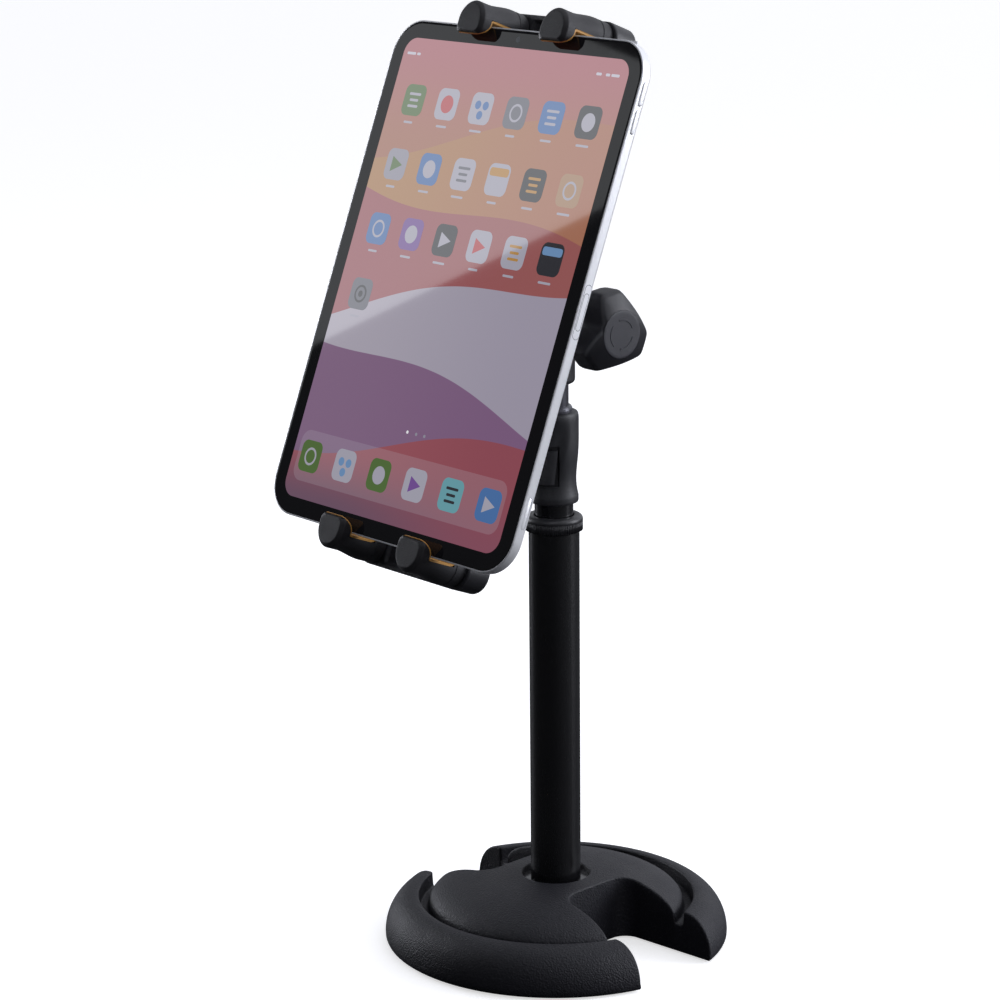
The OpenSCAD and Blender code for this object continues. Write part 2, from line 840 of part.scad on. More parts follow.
module edge_button(v) {
    edge_pill(v, button_long, button_wide, tablet_w / 2 - 1.9, tablet_w / 2 + 0.35);
}

module volume_up() { color("#d7d9dc") edge_button(volume_v[0]); }
module volume_down() { color("#d7d9dc") edge_button(volume_v[1]); }

module power_button() {
    color("#d7d9dc") tilted() translate([power_u, -screen_gap - button_n, tablet_h / 2 - 1.9])
        linear_extrude(2.25) round_rect(button_long, button_wide, 0.99);
}

module sim_tray() {
    color("#d7d9dc") {
        edge_pill(tray_v, tray_long, tray_wide, tablet_w / 2 - 1.3, tablet_w / 2);
        tilted() translate([tablet_w / 2 - 13, -screen_gap - button_n - 0.3, tray_v - 5.5])
            cube([12, 0.8, 11]);
    }
}

base_casting();
base_pad();
foot_plug();
foot_bolt();
trim_ring();
outer_tube();
tube_ferrule();
guide_bush();
clutch_collar();
inner_tube();
grip_body();
stem();
stem_washer();
lock_body();
lock_shoes();
trigger_pin();
rod_spring();
trigger();
lock_rod();
hub_fork();
tilt_bolt();
knob_spacer();
friction_washers();
tilt_knob();
knob_insert();
knob_cap();
tilt_block();
roll_retainer();
cradle_rear();
cradle_front();
rail_keeper();
back_pad();
cradle_screws();
jaw_spring();
jaw_pinion();
upper_rail();
upper_crossbar();
upper_hook_left();
upper_hook_right();
upper_liner_left();
upper_liner_right();
upper_hook_screws();
lower_rail();
lower_crossbar();
lower_hook_left();
lower_hook_right();
lower_liner_left();
lower_liner_right();
lower_hook_screws();
tablet_shell();
tablet_glass();
display_panel();
tablet_battery();
tablet_board();
rear_camera();
volume_up();
volume_down();
power_button();
sim_tray();
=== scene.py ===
import math
import bmesh
import bpy
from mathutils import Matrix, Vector


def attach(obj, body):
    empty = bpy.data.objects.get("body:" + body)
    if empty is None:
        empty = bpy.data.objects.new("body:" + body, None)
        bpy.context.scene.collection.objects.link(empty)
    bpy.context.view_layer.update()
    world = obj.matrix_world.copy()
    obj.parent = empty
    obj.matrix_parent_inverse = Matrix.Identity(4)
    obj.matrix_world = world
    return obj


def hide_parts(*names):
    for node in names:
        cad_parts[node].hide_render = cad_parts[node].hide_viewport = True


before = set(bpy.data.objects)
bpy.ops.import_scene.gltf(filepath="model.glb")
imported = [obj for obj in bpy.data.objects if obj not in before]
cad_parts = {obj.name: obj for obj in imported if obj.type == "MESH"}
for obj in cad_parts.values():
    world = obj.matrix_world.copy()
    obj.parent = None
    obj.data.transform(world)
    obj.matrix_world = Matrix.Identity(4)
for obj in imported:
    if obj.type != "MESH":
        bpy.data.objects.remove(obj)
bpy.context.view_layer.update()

# Studio: a pale floor, a camera over the reader's right shoulder and soft light. The
# room is light behind and to the right of the stand and dim in front of it, the floor
# gives little light back, and the screen mirrors a tall white card on the left.
camera_data = bpy.data.cameras.new("camera")
camera_data.lens = 110.5
camera_data.sensor_width = 36
camera_data.shift_x = -0.0055
camera = bpy.data.objects.new("camera", camera_data)
camera.location = (1.0929, -0.9566, 0.5854)
camera.rotation_euler = [math.radians(turn) for turn in (76.0857, 0.5117, 49.6082)]
bpy.context.scene.collection.objects.link(camera)
bpy.context.scene.camera = camera
bpy.context.scene.view_settings.view_transform = "Standard"


def add_object(name, mesh):
    made = bpy.data.objects.new(name, mesh)
    bpy.context.scene.collection.objects.link(made)
    return made


def flat_shape(name, corners, material):
    mesh = bpy.data.meshes.new(name)
    mesh.from_pydata(corners, [], [list(range(len(corners)))])
    mesh.materials.append(material)
    return add_object(name, mesh)


def glowing(name, color, strength):
    material = bpy.data.materials.new(name)
    material.use_nodes = True
    shader = material.node_tree.nodes["Principled BSDF"]
    shader.inputs["Base Color"].default_value = (0, 0, 0, 1)
    shader.inputs["Emission Color"].default_value = (*color, 1)
    shader.inputs["Emission Strength"].default_value = strength
    return material


def soft_box(name, place, aim, width, height, power):
    light = bpy.data.lights.new(name, "AREA")
    light.shape = "RECTANGLE"
    light.size = width
    light.size_y = height
    light.energy = power
    light.color = (0.9, 0.92, 1.0)
    lamp = bpy.data.objects.new(name, light)
    lamp.location = place
    lamp.rotation_euler = (Vector(aim) - Vector(place)).to_track_quat("-Z", "Y").to_euler()
    lamp.visible_camera = False
    bpy.context.scene.collection.objects.link(lamp)


soft_box("overhead", (0.1, 0.2, 1.9), (0, 0, 0.1), 1.8, 1.4, 6)
soft_box("right_side", (1.3, 1.5, 0.8), (0, 0, 0.25), 0.9, 1.4, 24)
soft_box("left_side", (-1.65, -0.3, 0.4), (0, 0, 0.25), 0.45, 1.2, 14)
soft_box("front_fill", (-0.5, -1.6, 1.5), (0, 0, 0.3), 1.2, 1.2, 2)

room = bpy.data.worlds.new("room")
room.use_nodes = True
bpy.context.scene.world = room
room_nodes = room.node_tree.nodes
room_links = room.node_tree.links
direction = room_nodes.new("ShaderNodeTexCoord")
facing = room_nodes.new("ShaderNodeVectorMath")
facing.operation = "DOT_PRODUCT"
facing.inputs[1].default_value = Vector((0.42, 0.87, 0.25)).normalized()
fade = room_nodes.new("ShaderNodeMapRange")
fade.interpolation_type = "SMOOTHSTEP"
fade.inputs["From Min"].default_value = -0.3
fade.inputs["From Max"].default_value = 0.9
fade.inputs["To Min"].default_value = 0.06
fade.inputs["To Max"].default_value = 1.0
seen = room_nodes.new("ShaderNodeLightPath")
pick = room_nodes.new("ShaderNodeMix")
pick.inputs["B"].default_value = 0.93
room_links.new(direction.outputs["Generated"], facing.inputs[0])
room_links.new(facing.outputs["Value"], fade.inputs["Value"])
room_links.new(seen.outputs["Is Camera Ray"], pick.inputs["Factor"])
room_links.new(fade.outputs["Result"], pick.inputs["A"])
room_links.new(pick.outputs["Result"], room_nodes["Background"].inputs["Strength"])
room_nodes["Background"].inputs["Color"].default_value = (0.91, 0.93, 1.0, 1)

floor_half = 12.0
floor_paint = bpy.data.materials.new("floor_paint")
floor_paint.use_nodes = True
floor_nodes = floor_paint.node_tree.nodes
floor_shader = floor_nodes["Principled BSDF"]
floor_shader.inputs["Roughness"].default_value = 0.6
floor_shader.inputs["Specular IOR Level"].default_value = 0.2
floor_shader.inputs["Emission Color"].default_value = (1, 1, 1, 1)
floor_seen = floor_nodes.new("ShaderNodeLightPath")
floor_tone = floor_nodes.new("ShaderNodeMix")
floor_tone.data_type = "RGBA"
floor_tone.inputs["A"].default_value = (0.05, 0.05, 0.053, 1)
floor_tone.inputs["B"].default_value = (0.8, 0.8, 0.81, 1)
floor_lift = floor_nodes.new("ShaderNodeMath")
floor_lift.operation = "MULTIPLY"
floor_lift.inputs[1].default_value = 0.62
floor_paint.node_tree.links.new(floor_seen.outputs["Is Camera Ray"], floor_tone.inputs["Factor"])
floor_paint.node_tree.links.new(floor_tone.outputs["Result"], floor_shader.inputs["Base Color"])
floor_paint.node_tree.links.new(floor_seen.outputs["Is Camera Ray"], floor_lift.inputs[0])
floor_paint.node_tree.links.new(floor_lift.outputs["Value"], floor_shader.inputs["Emission Strength"])
floor_corners = [(x, y, 0) for x, y in
                 ((-floor_half, -floor_half), (floor_half, -floor_half),
                  (floor_half, floor_half), (-floor_half, floor_half))]
flat_shape("studio_floor", floor_corners, floor_paint)

card_middle = Vector((-1.14, -0.8816, 0.8897))
card_right = Vector((-0.593, 0.8052, 0.0))
card_up = Vector((0.2656, 0.1957, 0.944))
card_outline = [(0.25, -0.563), (-0.222, 0.188), (-0.023, 0.15), (0.6, 0.06), (0.9, -0.5)]
card_corners = [card_middle + card_right * x + card_up * y for x, y in card_outline]
card = flat_shape("light_card", card_corners, glowing("card_glow", (0.93, 0.96, 1.0), 0.95))
card.visible_camera = False
card.visible_diffuse = False
card.visible_shadow = False

# Foot: one iron casting with two finger notches and a ring groove, sprayed with a
# fine-pebbled black powder coat. Every cut edge carries the same small cast radius.
MM = 0.001
base_r = 86
hub_top = 33.5
recess_r = 17
recess_floor = 28.5
dome_r = 63.8
dome_low = 19
rim_mid_r = 70.5
rim_low_z = 3.5
rim_rise = 19
notch_half = 23.8
notch_end = 26.5
notch_corner = 9
notch_flare = math.radians(3)
notch_turn = math.radians(4)
cast_radius = 1.0
foot_low = 1.0
pad_pocket = 2.8
pad_edge_r = 82.3


def notch_wall(x):
    return notch_half + (x - 60) * math.tan(notch_flare)


corner_x = notch_end + notch_corner
corner_y = notch_wall(corner_x) - notch_corner


def wall_angle(r):
    """Angle from the notch's middle line to its wall, on a circle of radius r"""
    if r <= notch_end:
        return 0.0
    if r <= math.hypot(notch_end, corner_y):
        return math.acos(notch_end / r)
    span = math.hypot(corner_x, corner_y)
    if r < math.hypot(corner_x, corner_y + notch_corner):
        along = (r * r + span * span - notch_corner ** 2) / (2 * r * span)
        return math.atan2(corner_y, corner_x) + math.acos(min(1.0, along))
    slope = math.tan(notch_flare)
    rise = notch_half - 60 * slope
    a = 1 + slope * slope
    x = (-rise * slope + math.sqrt(a * r * r - rise * rise)) / a
    return math.acos(x / r)


def wall_distance(x, y):
    """How far a point of the casting lies from the notch's outline"""
    if x >= corner_x:
        return (y - notch_wall(x)) * math.cos(notch_flare)
    if y > corner_y:
        return math.hypot(x - corner_x, y - corner_y) - notch_corner
    return notch_end - x


def cast_drop(distance):
    """Depth lost to the cast radius at a distance from a cut wall"""
    if distance >= cast_radius:
        return 0.0
    return cast_radius - math.sqrt(max(0.0, cast_radius ** 2 - (cast_radius - distance) ** 2))


def arc(x, y, r, start, end, steps):
    """Points along an arc, with its angles in degrees"""
    turns = [math.radians(start + (end - start) * i / steps) for i in range(steps + 1)]
    return [(x + r * math.cos(turn), y + r * math.sin(turn)) for turn in turns]


def dome_height(r):
    return dome_low + (hub_top - dome_low) * (1 - (r / dome_r) ** 3.2) ** 0.62


def foot_section():
    """Upper half section of the casting from the pole outward, as (radius, height)"""
    dome_radii = [18, 19, 20.5, 22, 23.5, 24.6, 25.3, 25.8, 26.2, 26.5, 26.55, 26.7, 27, 27.4, 27.9, 28.5]
    dome_radii += [29 + 0.5 * i for i in range(28)]
    dome_radii += [43 + 1.5 * i for i in range(10)] + [57, 58, 59, 60, 61, 61.8, 62.4, 62.9]
    lip_top = dome_height(62.9)
    section = [(12.7, recess_floor), (recess_r - 0.1, recess_floor), (recess_r, recess_floor + 0.1)]
    section += arc(recess_r + 0.7, dome_height(recess_r + 0.7) - 0.7, 0.7, 180, 90, 4)
    section += [(r, dome_height(r)) for r in dome_radii]
    section += [(63.3, lip_top - 0.6), (63.6, lip_top - 1.4), (63.8, 18.5), (64.1, 16.6)]
    section += arc(65.4, 16.2, 1.2, 190, 270, 4) + arc(67.4, 16.2, 1.2, 280, 350, 4)
    section += [(68.8, 18.6), (69.0, 20.4)] + arc(69.9, 21.6, 0.9, 185, 100, 5)
    section += [(rim_mid_r + (base_r - rim_mid_r) * math.cos(math.radians(a)),
                 rim_low_z + rim_rise * math.sin(math.radians(a))) for a in range(86, -1, -3)]
    return section + [(base_r - 0.1, 2.4), (base_r - 0.5, 1.5), (base_r - 1.2, foot_low)]


wall_steps = [0, 0.08, 0.25, 0.5, 0.75, 1.0, 1.6, 2.6, 4.2]
arc_columns = 84


def column_turns(r):
    """Angles of the mesh's columns across one half of the casting: close by the walls"""
    first = wall_angle(r)
    near = [first + step / r for step in wall_steps]
    far = math.pi - first
    last = near[-1]
    middle = [last + (math.pi - 2 * last) * i / arc_columns for i in range(1, arc_columns)]
    return near + middle + [math.pi - turn for turn in reversed(near)]


def foot_mesh():
    section = foot_section()
    slopes = []
    for i, (r, z) in enumerate(section):
        r0, z0 = section[max(0, i - 1)]
        r1, z1 = section[min(len(section) - 1, i + 1)]
        length = math.hypot(r1 - r0, z1 - z0)
        slopes.append(((z0 - z1) / length, (r1 - r0) / length))
    wall_rows = 9
    points = []
    faces = []
    for half in (0, 1):
        top = []
        low = []
        for (r, z), (nr, nz) in zip(section, slopes):
            low_r = min(r, base_r - 1.2)
            top_row = []
            low_row = []
            for turn, low_turn in zip(column_turns(r), column_turns(low_r)):
                x = r * math.cos(turn)
                y = r * math.sin(turn)
                drop = cast_drop(wall_distance(abs(x), y)) if r > 20 and z > 4 else 0
                heading = turn + half * math.pi + notch_turn
                reach = r - nr * drop
                points.append((reach * math.cos(heading), reach * math.sin(heading), z - nz * drop))
                top_row.append(len(points) - 1)
                heading = low_turn + half * math.pi + notch_turn
                x = low_r * math.cos(low_turn)
                y = low_r * math.sin(low_turn)
                outer = low_r > pad_edge_r or wall_distance(abs(x), y) < 3.7
                points.append((low_r * math.cos(heading), low_r * math.sin(heading),
                               foot_low if outer else pad_pocket))
                low_row.append(len(points) - 1)
            top.append(top_row)
            low.append(low_row)
        columns = len(top[0])
        for i in range(len(section) - 1):
            for j in range(columns - 1):
                faces.append((top[i][j], top[i][j + 1], top[i + 1][j + 1], top[i + 1][j]))
                faces.append((low[i][j], low[i + 1][j], low[i + 1][j + 1], low[i][j + 1]))
        for j in range(columns - 1):
            faces.append((top[0][j], low[0][j], low[0][j + 1], top[0][j + 1]))
        # Notch walls: strips from each upper edge point down to the point below it
        for edge in (0, columns - 1):
            strips = []
            for i, (r, z) in enumerate(section):
                if r < notch_end - 0.01:
                    continue
                start = points[top[i][edge]]
                stop = points[low[i][edge]]
                strip = [top[i][edge]]
                for k in range(1, wall_rows):
                    share = k / wall_rows
                    points.append(tuple(a + (b - a) * share for a, b in zip(start, stop)))
                    strip.append(len(points) - 1)
                strips.append(strip + [low[i][edge]])
            for a, b in zip(strips, strips[1:]):
                faces += [(a[k], a[k + 1], b[k + 1], b[k]) for k in range(wall_rows)]
    return points, faces


def finished_mesh(name, points, faces, sharp=35):
    """A mesh from points in millimetres, closed along its seams, with faces outward"""
    mesh = bpy.data.meshes.new(name)
    mesh.from_pydata([[c * MM for c in point] for point in points], [], faces)
    work = bmesh.new()
    work.from_mesh(mesh)
    bmesh.ops.remove_doubles(work, verts=work.verts, dist=2e-6)
    bmesh.ops.dissolve_degenerate(work, edges=work.edges, dist=1e-7)
    bmesh.ops.recalc_face_normals(work, faces=work.faces)
    work.to_mesh(mesh)
    work.free()
    mesh.shade_smooth()
    mesh.set_sharp_from_angle(angle=math.radians(sharp))
    return mesh


def fit(piece, body, slot, material, *stands_for):
    """Puts a made piece on its body, with its finish and the CAD nodes it stands for"""
    piece.data.materials.clear()
    piece.data.materials.append(material)
    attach(piece, body)
    if stands_for:
        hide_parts(*stands_for)


def add_sockets(tree, inputs, outputs):
    kinds = {"v": "NodeSocketFloat", "c": "NodeSocketColor", "p": "NodeSocketVector"}
    for name, kind, value in inputs:
        socket = tree.interface.new_socket(name, in_out="INPUT", socket_type=kinds[kind])
        socket.default_value = value
    for name, kind in outputs:
        tree.interface.new_socket(name, in_out="OUTPUT", socket_type=kinds[kind])
    return tree.nodes.new("NodeGroupInput"), tree.nodes.new("NodeGroupOutput")


def build_grain():
    """Surface grain of a moulded, sprayed or drawn piece, from object coordinates: a tone
    that wanders between two colours, a gloss that wanders with it, and a fine height"""
    tree = bpy.data.node_groups.new("surface_grain", "ShaderNodeTree")
    start, end = add_sockets(
        tree,
        [("Dark", "c", (0, 0, 0, 1)), ("Light", "c", (1, 1, 1, 1)), ("Size", "v", 0.001),
         ("Stretch", "p", (1, 1, 1)), ("Smooth", "v", 0.3), ("Rough", "v", 0.6), ("Cells", "v", 0.0)],
        [("Color", "c"), ("Roughness", "v"), ("Height", "v")])
    link = tree.links.new
    place = tree.nodes.new("ShaderNodeTexCoord")
    stretch = tree.nodes.new("ShaderNodeVectorMath")
    stretch.operation = "MULTIPLY"
    rate = tree.nodes.new("ShaderNodeMath")
    rate.operation = "DIVIDE"
    rate.inputs[0].default_value = 1.0
    fine = tree.nodes.new("ShaderNodeTexNoise")
    fine.inputs["Detail"].default_value = 3.0
    cells = tree.nodes.new("ShaderNodeTexVoronoi")
    cells.feature = "SMOOTH_F1"
    cells.inputs["Smoothness"].default_value = 0.6
    broad = tree.nodes.new("ShaderNodeTexNoise")
    broad.inputs["Scale"].default_value = 55.0
    broad.inputs["Detail"].default_value = 4.0
    bumps = tree.nodes.new("ShaderNodeMix")
    blend = tree.nodes.new("ShaderNodeMix")
    blend.inputs["Factor"].default_value = 0.45
    tone = tree.nodes.new("ShaderNodeMix")
    tone.data_type = "RGBA"
    gloss = tree.nodes.new("ShaderNodeMapRange")
    gloss.inputs["From Min"].default_value = 0.3
    gloss.inputs["From Max"].default_value = 0.7
    link(place.outputs["Object"], stretch.inputs[0])
    link(start.outputs["Stretch"], stretch.inputs[1])
    link(start.outputs["Size"], rate.inputs[1])
    for texture in (fine, cells):
        link(stretch.outputs["Vector"], texture.inputs["Vector"])
        link(rate.outputs["Value"], texture.inputs["Scale"])
    link(stretch.outputs["Vector"], broad.inputs["Vector"])
    link(start.outputs["Cells"], bumps.inputs["Factor"])
    link(fine.outputs["Fac"], bumps.inputs["A"])
    link(cells.outputs["Distance"], bumps.inputs["B"])
    link(broad.outputs["Fac"], blend.inputs["A"])
    link(fine.outputs["Fac"], blend.inputs["B"])
    link(blend.outputs["Result"], tone.inputs["Factor"])
    link(start.outputs["Dark"], tone.inputs["A"])
    link(start.outputs["Light"], tone.inputs["B"])
    link(blend.outputs["Result"], gloss.inputs["Value"])
    link(start.outputs["Smooth"], gloss.inputs["To Min"])
    link(start.outputs["Rough"], gloss.inputs["To Max"])
    link(tone.outputs["Result"], end.inputs["Color"])
    link(gloss.outputs["Result"], end.inputs["Roughness"])
    link(bumps.outputs["Result"], end.inputs["Height"])
    return tree


surface_grain = build_grain()


def finish(name, dark, light, gloss, size, depth, stretch=(1, 1, 1), cells=0.0, **shader_values):
    """A material on the shared grain: two tones, the gloss's two ends, and the grain's size
    and depth in metres. Further values are set on the shader's own sockets."""
    material = bpy.data.materials.new(name)
    material.use_nodes = True
    nodes = material.node_tree.nodes
    link = material.node_tree.links.new
    shader = nodes["Principled BSDF"]
    grain = nodes.new("ShaderNodeGroup")
    grain.node_tree = surface_grain
    grain.inputs["Dark"].default_value = (*dark, 1)
    grain.inputs["Light"].default_value = (*light, 1)
    grain.inputs["Size"].default_value = size
    grain.inputs["Stretch"].default_value = stretch
    grain.inputs["Smooth"].default_value = gloss[0]
    grain.inputs["Rough"].default_value = gloss[1]
    grain.inputs["Cells"].default_value = cells
    bump = nodes.new("ShaderNodeBump")
    bump.inputs["Strength"].default_value = 1.0
    bump.inputs["Distance"].default_value = depth
    link(grain.outputs["Color"], shader.inputs["Base Color"])
    link(grain.outputs["Roughness"], shader.inputs["Roughness"])
    link(grain.outputs["Height"], bump.inputs["Height"])
    link(bump.outputs["Normal"], shader.inputs["Normal"])
    for socket, value in shader_values.items():
        shader.inputs[socket.replace("_", " ")].default_value = value
    return material


def paint(material, *node_names):
    """Gives CAD nodes that keep their shape their finish"""
    for name in node_names:
        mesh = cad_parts[name].data
        mesh.materials.clear()
        mesh.materials.append(material)


pebbled_iron = finish("pebbled_iron", (0.0055, 0.0055, 0.0085), (0.013, 0.013, 0.0185), (0.45, 0.66),
                      0.0008, 0.0005, cells=0.5, Specular_IOR_Level=0.4)
foot = add_object("foot_casting", finished_mesh("foot_casting", *foot_mesh()))
fit(foot, "stand", "powder_iron", pebbled_iron, "base_casting")

# Under the foot: a ribbed rubber floor pad set into the casting, the steel plug and bolt
# that hold the tube, and the glossy pressed ring that lines the hub's recess.
soft_rubber = finish("soft_rubber", (0.012, 0.012, 0.013), (0.03, 0.03, 0.031), (0.6, 0.85), 0.0009, 0.0003)
zinc_steel = finish("zinc_steel", (0.42, 0.43, 0.45), (0.62, 0.63, 0.65), (0.25, 0.45), 0.0005, 0.00004,
                    Metallic=1.0)
gloss_trim = finish("gloss_trim", (0.02, 0.02, 0.022), (0.035, 0.035, 0.038), (0.12, 0.22), 0.002, 0.00002,
                    Specular_IOR_Level=0.8)
paint(soft_rubber, "base_pad")
paint(zinc_steel, "foot_plug", "foot_bolt")
paint(gloss_trim, "trim_ring")

# Outer tube: drawn steel in a smooth satin black lacquer. A threaded nylon ferrule and a
# guide bush at its mouth steer the inner tube.
satin_black = finish("satin_black", (0.0035, 0.0035, 0.0042), (0.0065, 0.0065, 0.0075), (0.2, 0.3), 0.0006,
                     0.000012, stretch=(1, 1, 0.12), Specular_IOR_Level=0.62)
natural_nylon = finish("natural_nylon", (0.52, 0.49, 0.42), (0.66, 0.63, 0.56), (0.35, 0.5), 0.001, 0.00005)
paint(satin_black, "outer_tube", "tube_ferrule")
paint(natural_nylon, "guide_bush")

# Clutch collar: a moulded nut on the ferrule, with about ninety fine ridges round its
# band and a smooth rounded shoulder above them.
collar_low = 210.7
collar_top = 218.5
band_top = 216.0
band_core_r = 13.85
ridge_count = 90
ridge_r = 0.36


def spun(profile, columns=96):
    """Rings of points round the Z axis for a half section of (radius, height)"""
    turns = [2 * math.pi * i / columns for i in range(columns)]
    return [[(r * math.cos(turn), r * math.sin(turn), z) for turn in turns] for r, z in profile]


def skin(name, rings, sharp=35, loop=False):
    """A closed skin through rings of points: looped back on itself, or capped at its ends"""
    count = len(rings[0])
    points = [point for ring in rings for point in ring]
    pairs = [(i, i + 1) for i in range(len(rings) - 1)] + ([(len(rings) - 1, 0)] if loop else [])
    faces = [(a * count + j, a * count + (j + 1) % count, b * count + (j + 1) % count, b * count + j)
             for a, b in pairs for j in range(count)]
    if not loop:
        faces += [tuple(range(count))[::-1], tuple(range(len(points) - count, len(points)))]
    return finished_mesh(name, points, faces, sharp)


def build_ribbed_ring():
    """Geometry nodes: small upright ribs, each a little different, round a vertical axis"""
    tree = bpy.data.node_groups.new("ribbed_ring", "GeometryNodeTree")
    socket = tree.interface.new_socket
    socket("Body", in_out="INPUT", socket_type="NodeSocketGeometry")
    socket("Count", in_out="INPUT", socket_type="NodeSocketInt")
    for name in ("Ring Radius", "Height", "Rib Radius", "Rib Length"):
        socket(name, in_out="INPUT", socket_type="NodeSocketFloat")
    socket("Seed", in_out="INPUT", socket_type="NodeSocketInt")
    socket("Finish", in_out="INPUT", socket_type="NodeSocketMaterial")
    socket("Geometry", in_out="OUTPUT", socket_type="NodeSocketGeometry")
    start = tree.nodes.new("NodeGroupInput")
    end = tree.nodes.new("NodeGroupOutput")
    circle = tree.nodes.new("GeometryNodeMeshCircle")
    rib = tree.nodes.new("GeometryNodeMeshCylinder")
    rib.inputs["Vertices"].default_value = 10
    lift = tree.nodes.new("ShaderNodeCombineXYZ")
    raised = tree.nodes.new("GeometryNodeTransform")
    vary = tree.nodes.new("FunctionNodeRandomValue")
    vary.data_type = "FLOAT"
    vary.inputs["Min"].default_value = 0.96
    vary.inputs["Max"].default_value = 1.02
    spread = tree.nodes.new("GeometryNodeInstanceOnPoints")
    real = tree.nodes.new("GeometryNodeRealizeInstances")
    joined = tree.nodes.new("GeometryNodeJoinGeometry")
    smooth = tree.nodes.new("GeometryNodeSetShadeSmooth")
    coat = tree.nodes.new("GeometryNodeSetMaterial")
    link = tree.links.new
    link(start.outputs["Count"], circle.inputs["Vertices"])
    link(start.outputs["Ring Radius"], circle.inputs["Radius"])
    link(start.outputs["Rib Radius"], rib.inputs["Radius"])
    link(start.outputs["Rib Length"], rib.inputs["Depth"])
    link(start.outputs["Height"], lift.inputs["Z"])
    link(start.outputs["Seed"], vary.inputs["Seed"])
    link(circle.outputs["Mesh"], raised.inputs["Geometry"])
    link(lift.outputs["Vector"], raised.inputs["Translation"])
    link(raised.outputs["Geometry"], spread.inputs["Points"])
    link(rib.outputs["Mesh"], spread.inputs["Instance"])
    link(vary.outputs[1], spread.inputs["Scale"])
    link(start.outputs["Body"], joined.inputs["Geometry"])
    link(spread.outputs["Instances"], real.inputs["Geometry"])
    link(real.outputs["Geometry"], joined.inputs["Geometry"])
    link(joined.outputs["Geometry"], smooth.inputs["Geometry"])
    link(smooth.outputs["Geometry"], coat.inputs["Geometry"])
    link(start.outputs["Finish"], coat.inputs["Material"])
    link(coat.outputs["Geometry"], end.inputs["Geometry"])
    return tree


def keep_modified(piece):
    """Puts a piece's modified shape in its mesh and clears its modifiers"""
    done = piece.evaluated_get(bpy.context.evaluated_depsgraph_get())
    mesh = bpy.data.meshes.new_from_object(done)
    piece.modifiers.clear()
    piece.data = mesh


def grow(piece, tree, **values):
    """Runs a geometry nodes tree on a piece once and keeps the result as a plain mesh"""
    growth = piece.modifiers.new("growth", "NODES")
    growth.node_group = tree
    sockets = {item.name: item.identifier for item in tree.interface.items_tree
               if item.in_out == "INPUT"}
    for name, value in values.items():
        growth[sockets[name.replace("_", " ")]] = value
    piece.update_tag()
    keep_modified(piece)


collar_plastic = finish("collar_plastic", (0.011, 0.011, 0.013), (0.022, 0.022, 0.025), (0.3, 0.46),
                        0.0005, 0.00005)
collar_profile = [(11.95, collar_low), (13.2, collar_low), (13.6, collar_low + 0.25),
                  (band_core_r, collar_low + 0.6), (band_core_r, band_top - 0.35), (14.15, band_top - 0.25),
                  (14.2, band_top)]
collar_profile += arc(12.1, collar_top - 2.2, 2.1, 5, 90, 8)
collar_profile += [(10.4, collar_top), (10.0, collar_top - 0.15), (9.9, collar_top - 0.4),
                   (9.9, band_top + 0.4), (11.95, band_top + 0.4)]
collar = add_object("clutch_collar_ridged", skin("collar", spun(collar_profile, 120), 50, loop=True))
grow(collar, build_ribbed_ring(), Count=ridge_count, Ring_Radius=band_core_r * MM,
     Height=(collar_low + band_top) / 2 * MM, Rib_Radius=ridge_r * MM,
     Rib_Length=(band_top - collar_low - 0.7) * MM, Seed=3, Finish=collar_plastic)
fit(collar, "collar", "collar_plastic", collar_plastic, "clutch_collar")

# Inner tube: thinner steel under a glossy black lacquer, sliding in the bush. Its foot
# carries the nylon lock plug, the brake shoes and the pull rod with its spring.
gloss_black = finish("gloss_black", (0.004, 0.004, 0.005), (0.007, 0.007, 0.008), (0.1, 0.18), 0.0006,
                     0.000008, stretch=(1, 1, 0.12), Specular_IOR_Level=0.7)
shoe_lining = finish("shoe_lining", (0.11, 0.055, 0.025), (0.2, 0.11, 0.055), (0.65, 0.85), 0.0006, 0.0002)
paint(gloss_black, "inner_tube")
paint(natural_nylon, "lock_body")
paint(shoe_lining, "lock_shoes")
paint(zinc_steel, "lock_rod", "rod_spring", "trigger_pin")

# Grip: a soft-touch moulding clamped on the inner tube, waisted above a flared rim. A
# smooth swelling over the lever runs into a long hollow, where the palm's heel sits.
grip_profile = [(11.3, 225.0), (11.85, 225.25), (12.1, 225.9), (12.1, 228.2), (11.8, 229.6), (11.5, 231),
                (11.2, 233), (11.05, 235), (11.0, 237), (11.1, 239.5), (11.35, 242.5), (11.65, 245.5),
                (11.95, 248.5), (12.15, 251.5), (12.28, 255), (12.3, 259), (12.3, 263), (12.3, 266.6),
                (12.22, 268), (11.95, 269.2), (11.5, 269.85), (11.0, 270.0)]
swell_z = 259
swell_rise = 3.1
hollow_depth = 1.2
grip_columns = 128


def near(value, middle, width):
    """One at the middle, fading to nothing over a width either side"""
    away = min(1.0, abs(value - middle) / width)
    return (1 - away * away) ** 2


def grip_radius(r, z, turn):
    """Turn is in degrees from the lever's side, positive towards the knob's side"""
    swell = swell_rise * near(turn, 0, 46) * near(z, swell_z, 13)
    hollow_turn = 58 + 12 * math.sin((z - 252) / 8)
    hollow = hollow_depth * near(abs(turn), hollow_turn, 24) * near(z, 252, 16)
    return r + swell - hollow


def refined(profile, gap):
    """A profile with points added so that none are further apart than the gap"""
    fine = [profile[0]]
    for a, b in zip(profile, profile[1:]):
        count = max(1, math.ceil(math.dist(a, b) / gap))
        fine += [tuple(p + (q - p) * i / count for p, q in zip(a, b)) for i in range(1, count + 1)]
    return fine


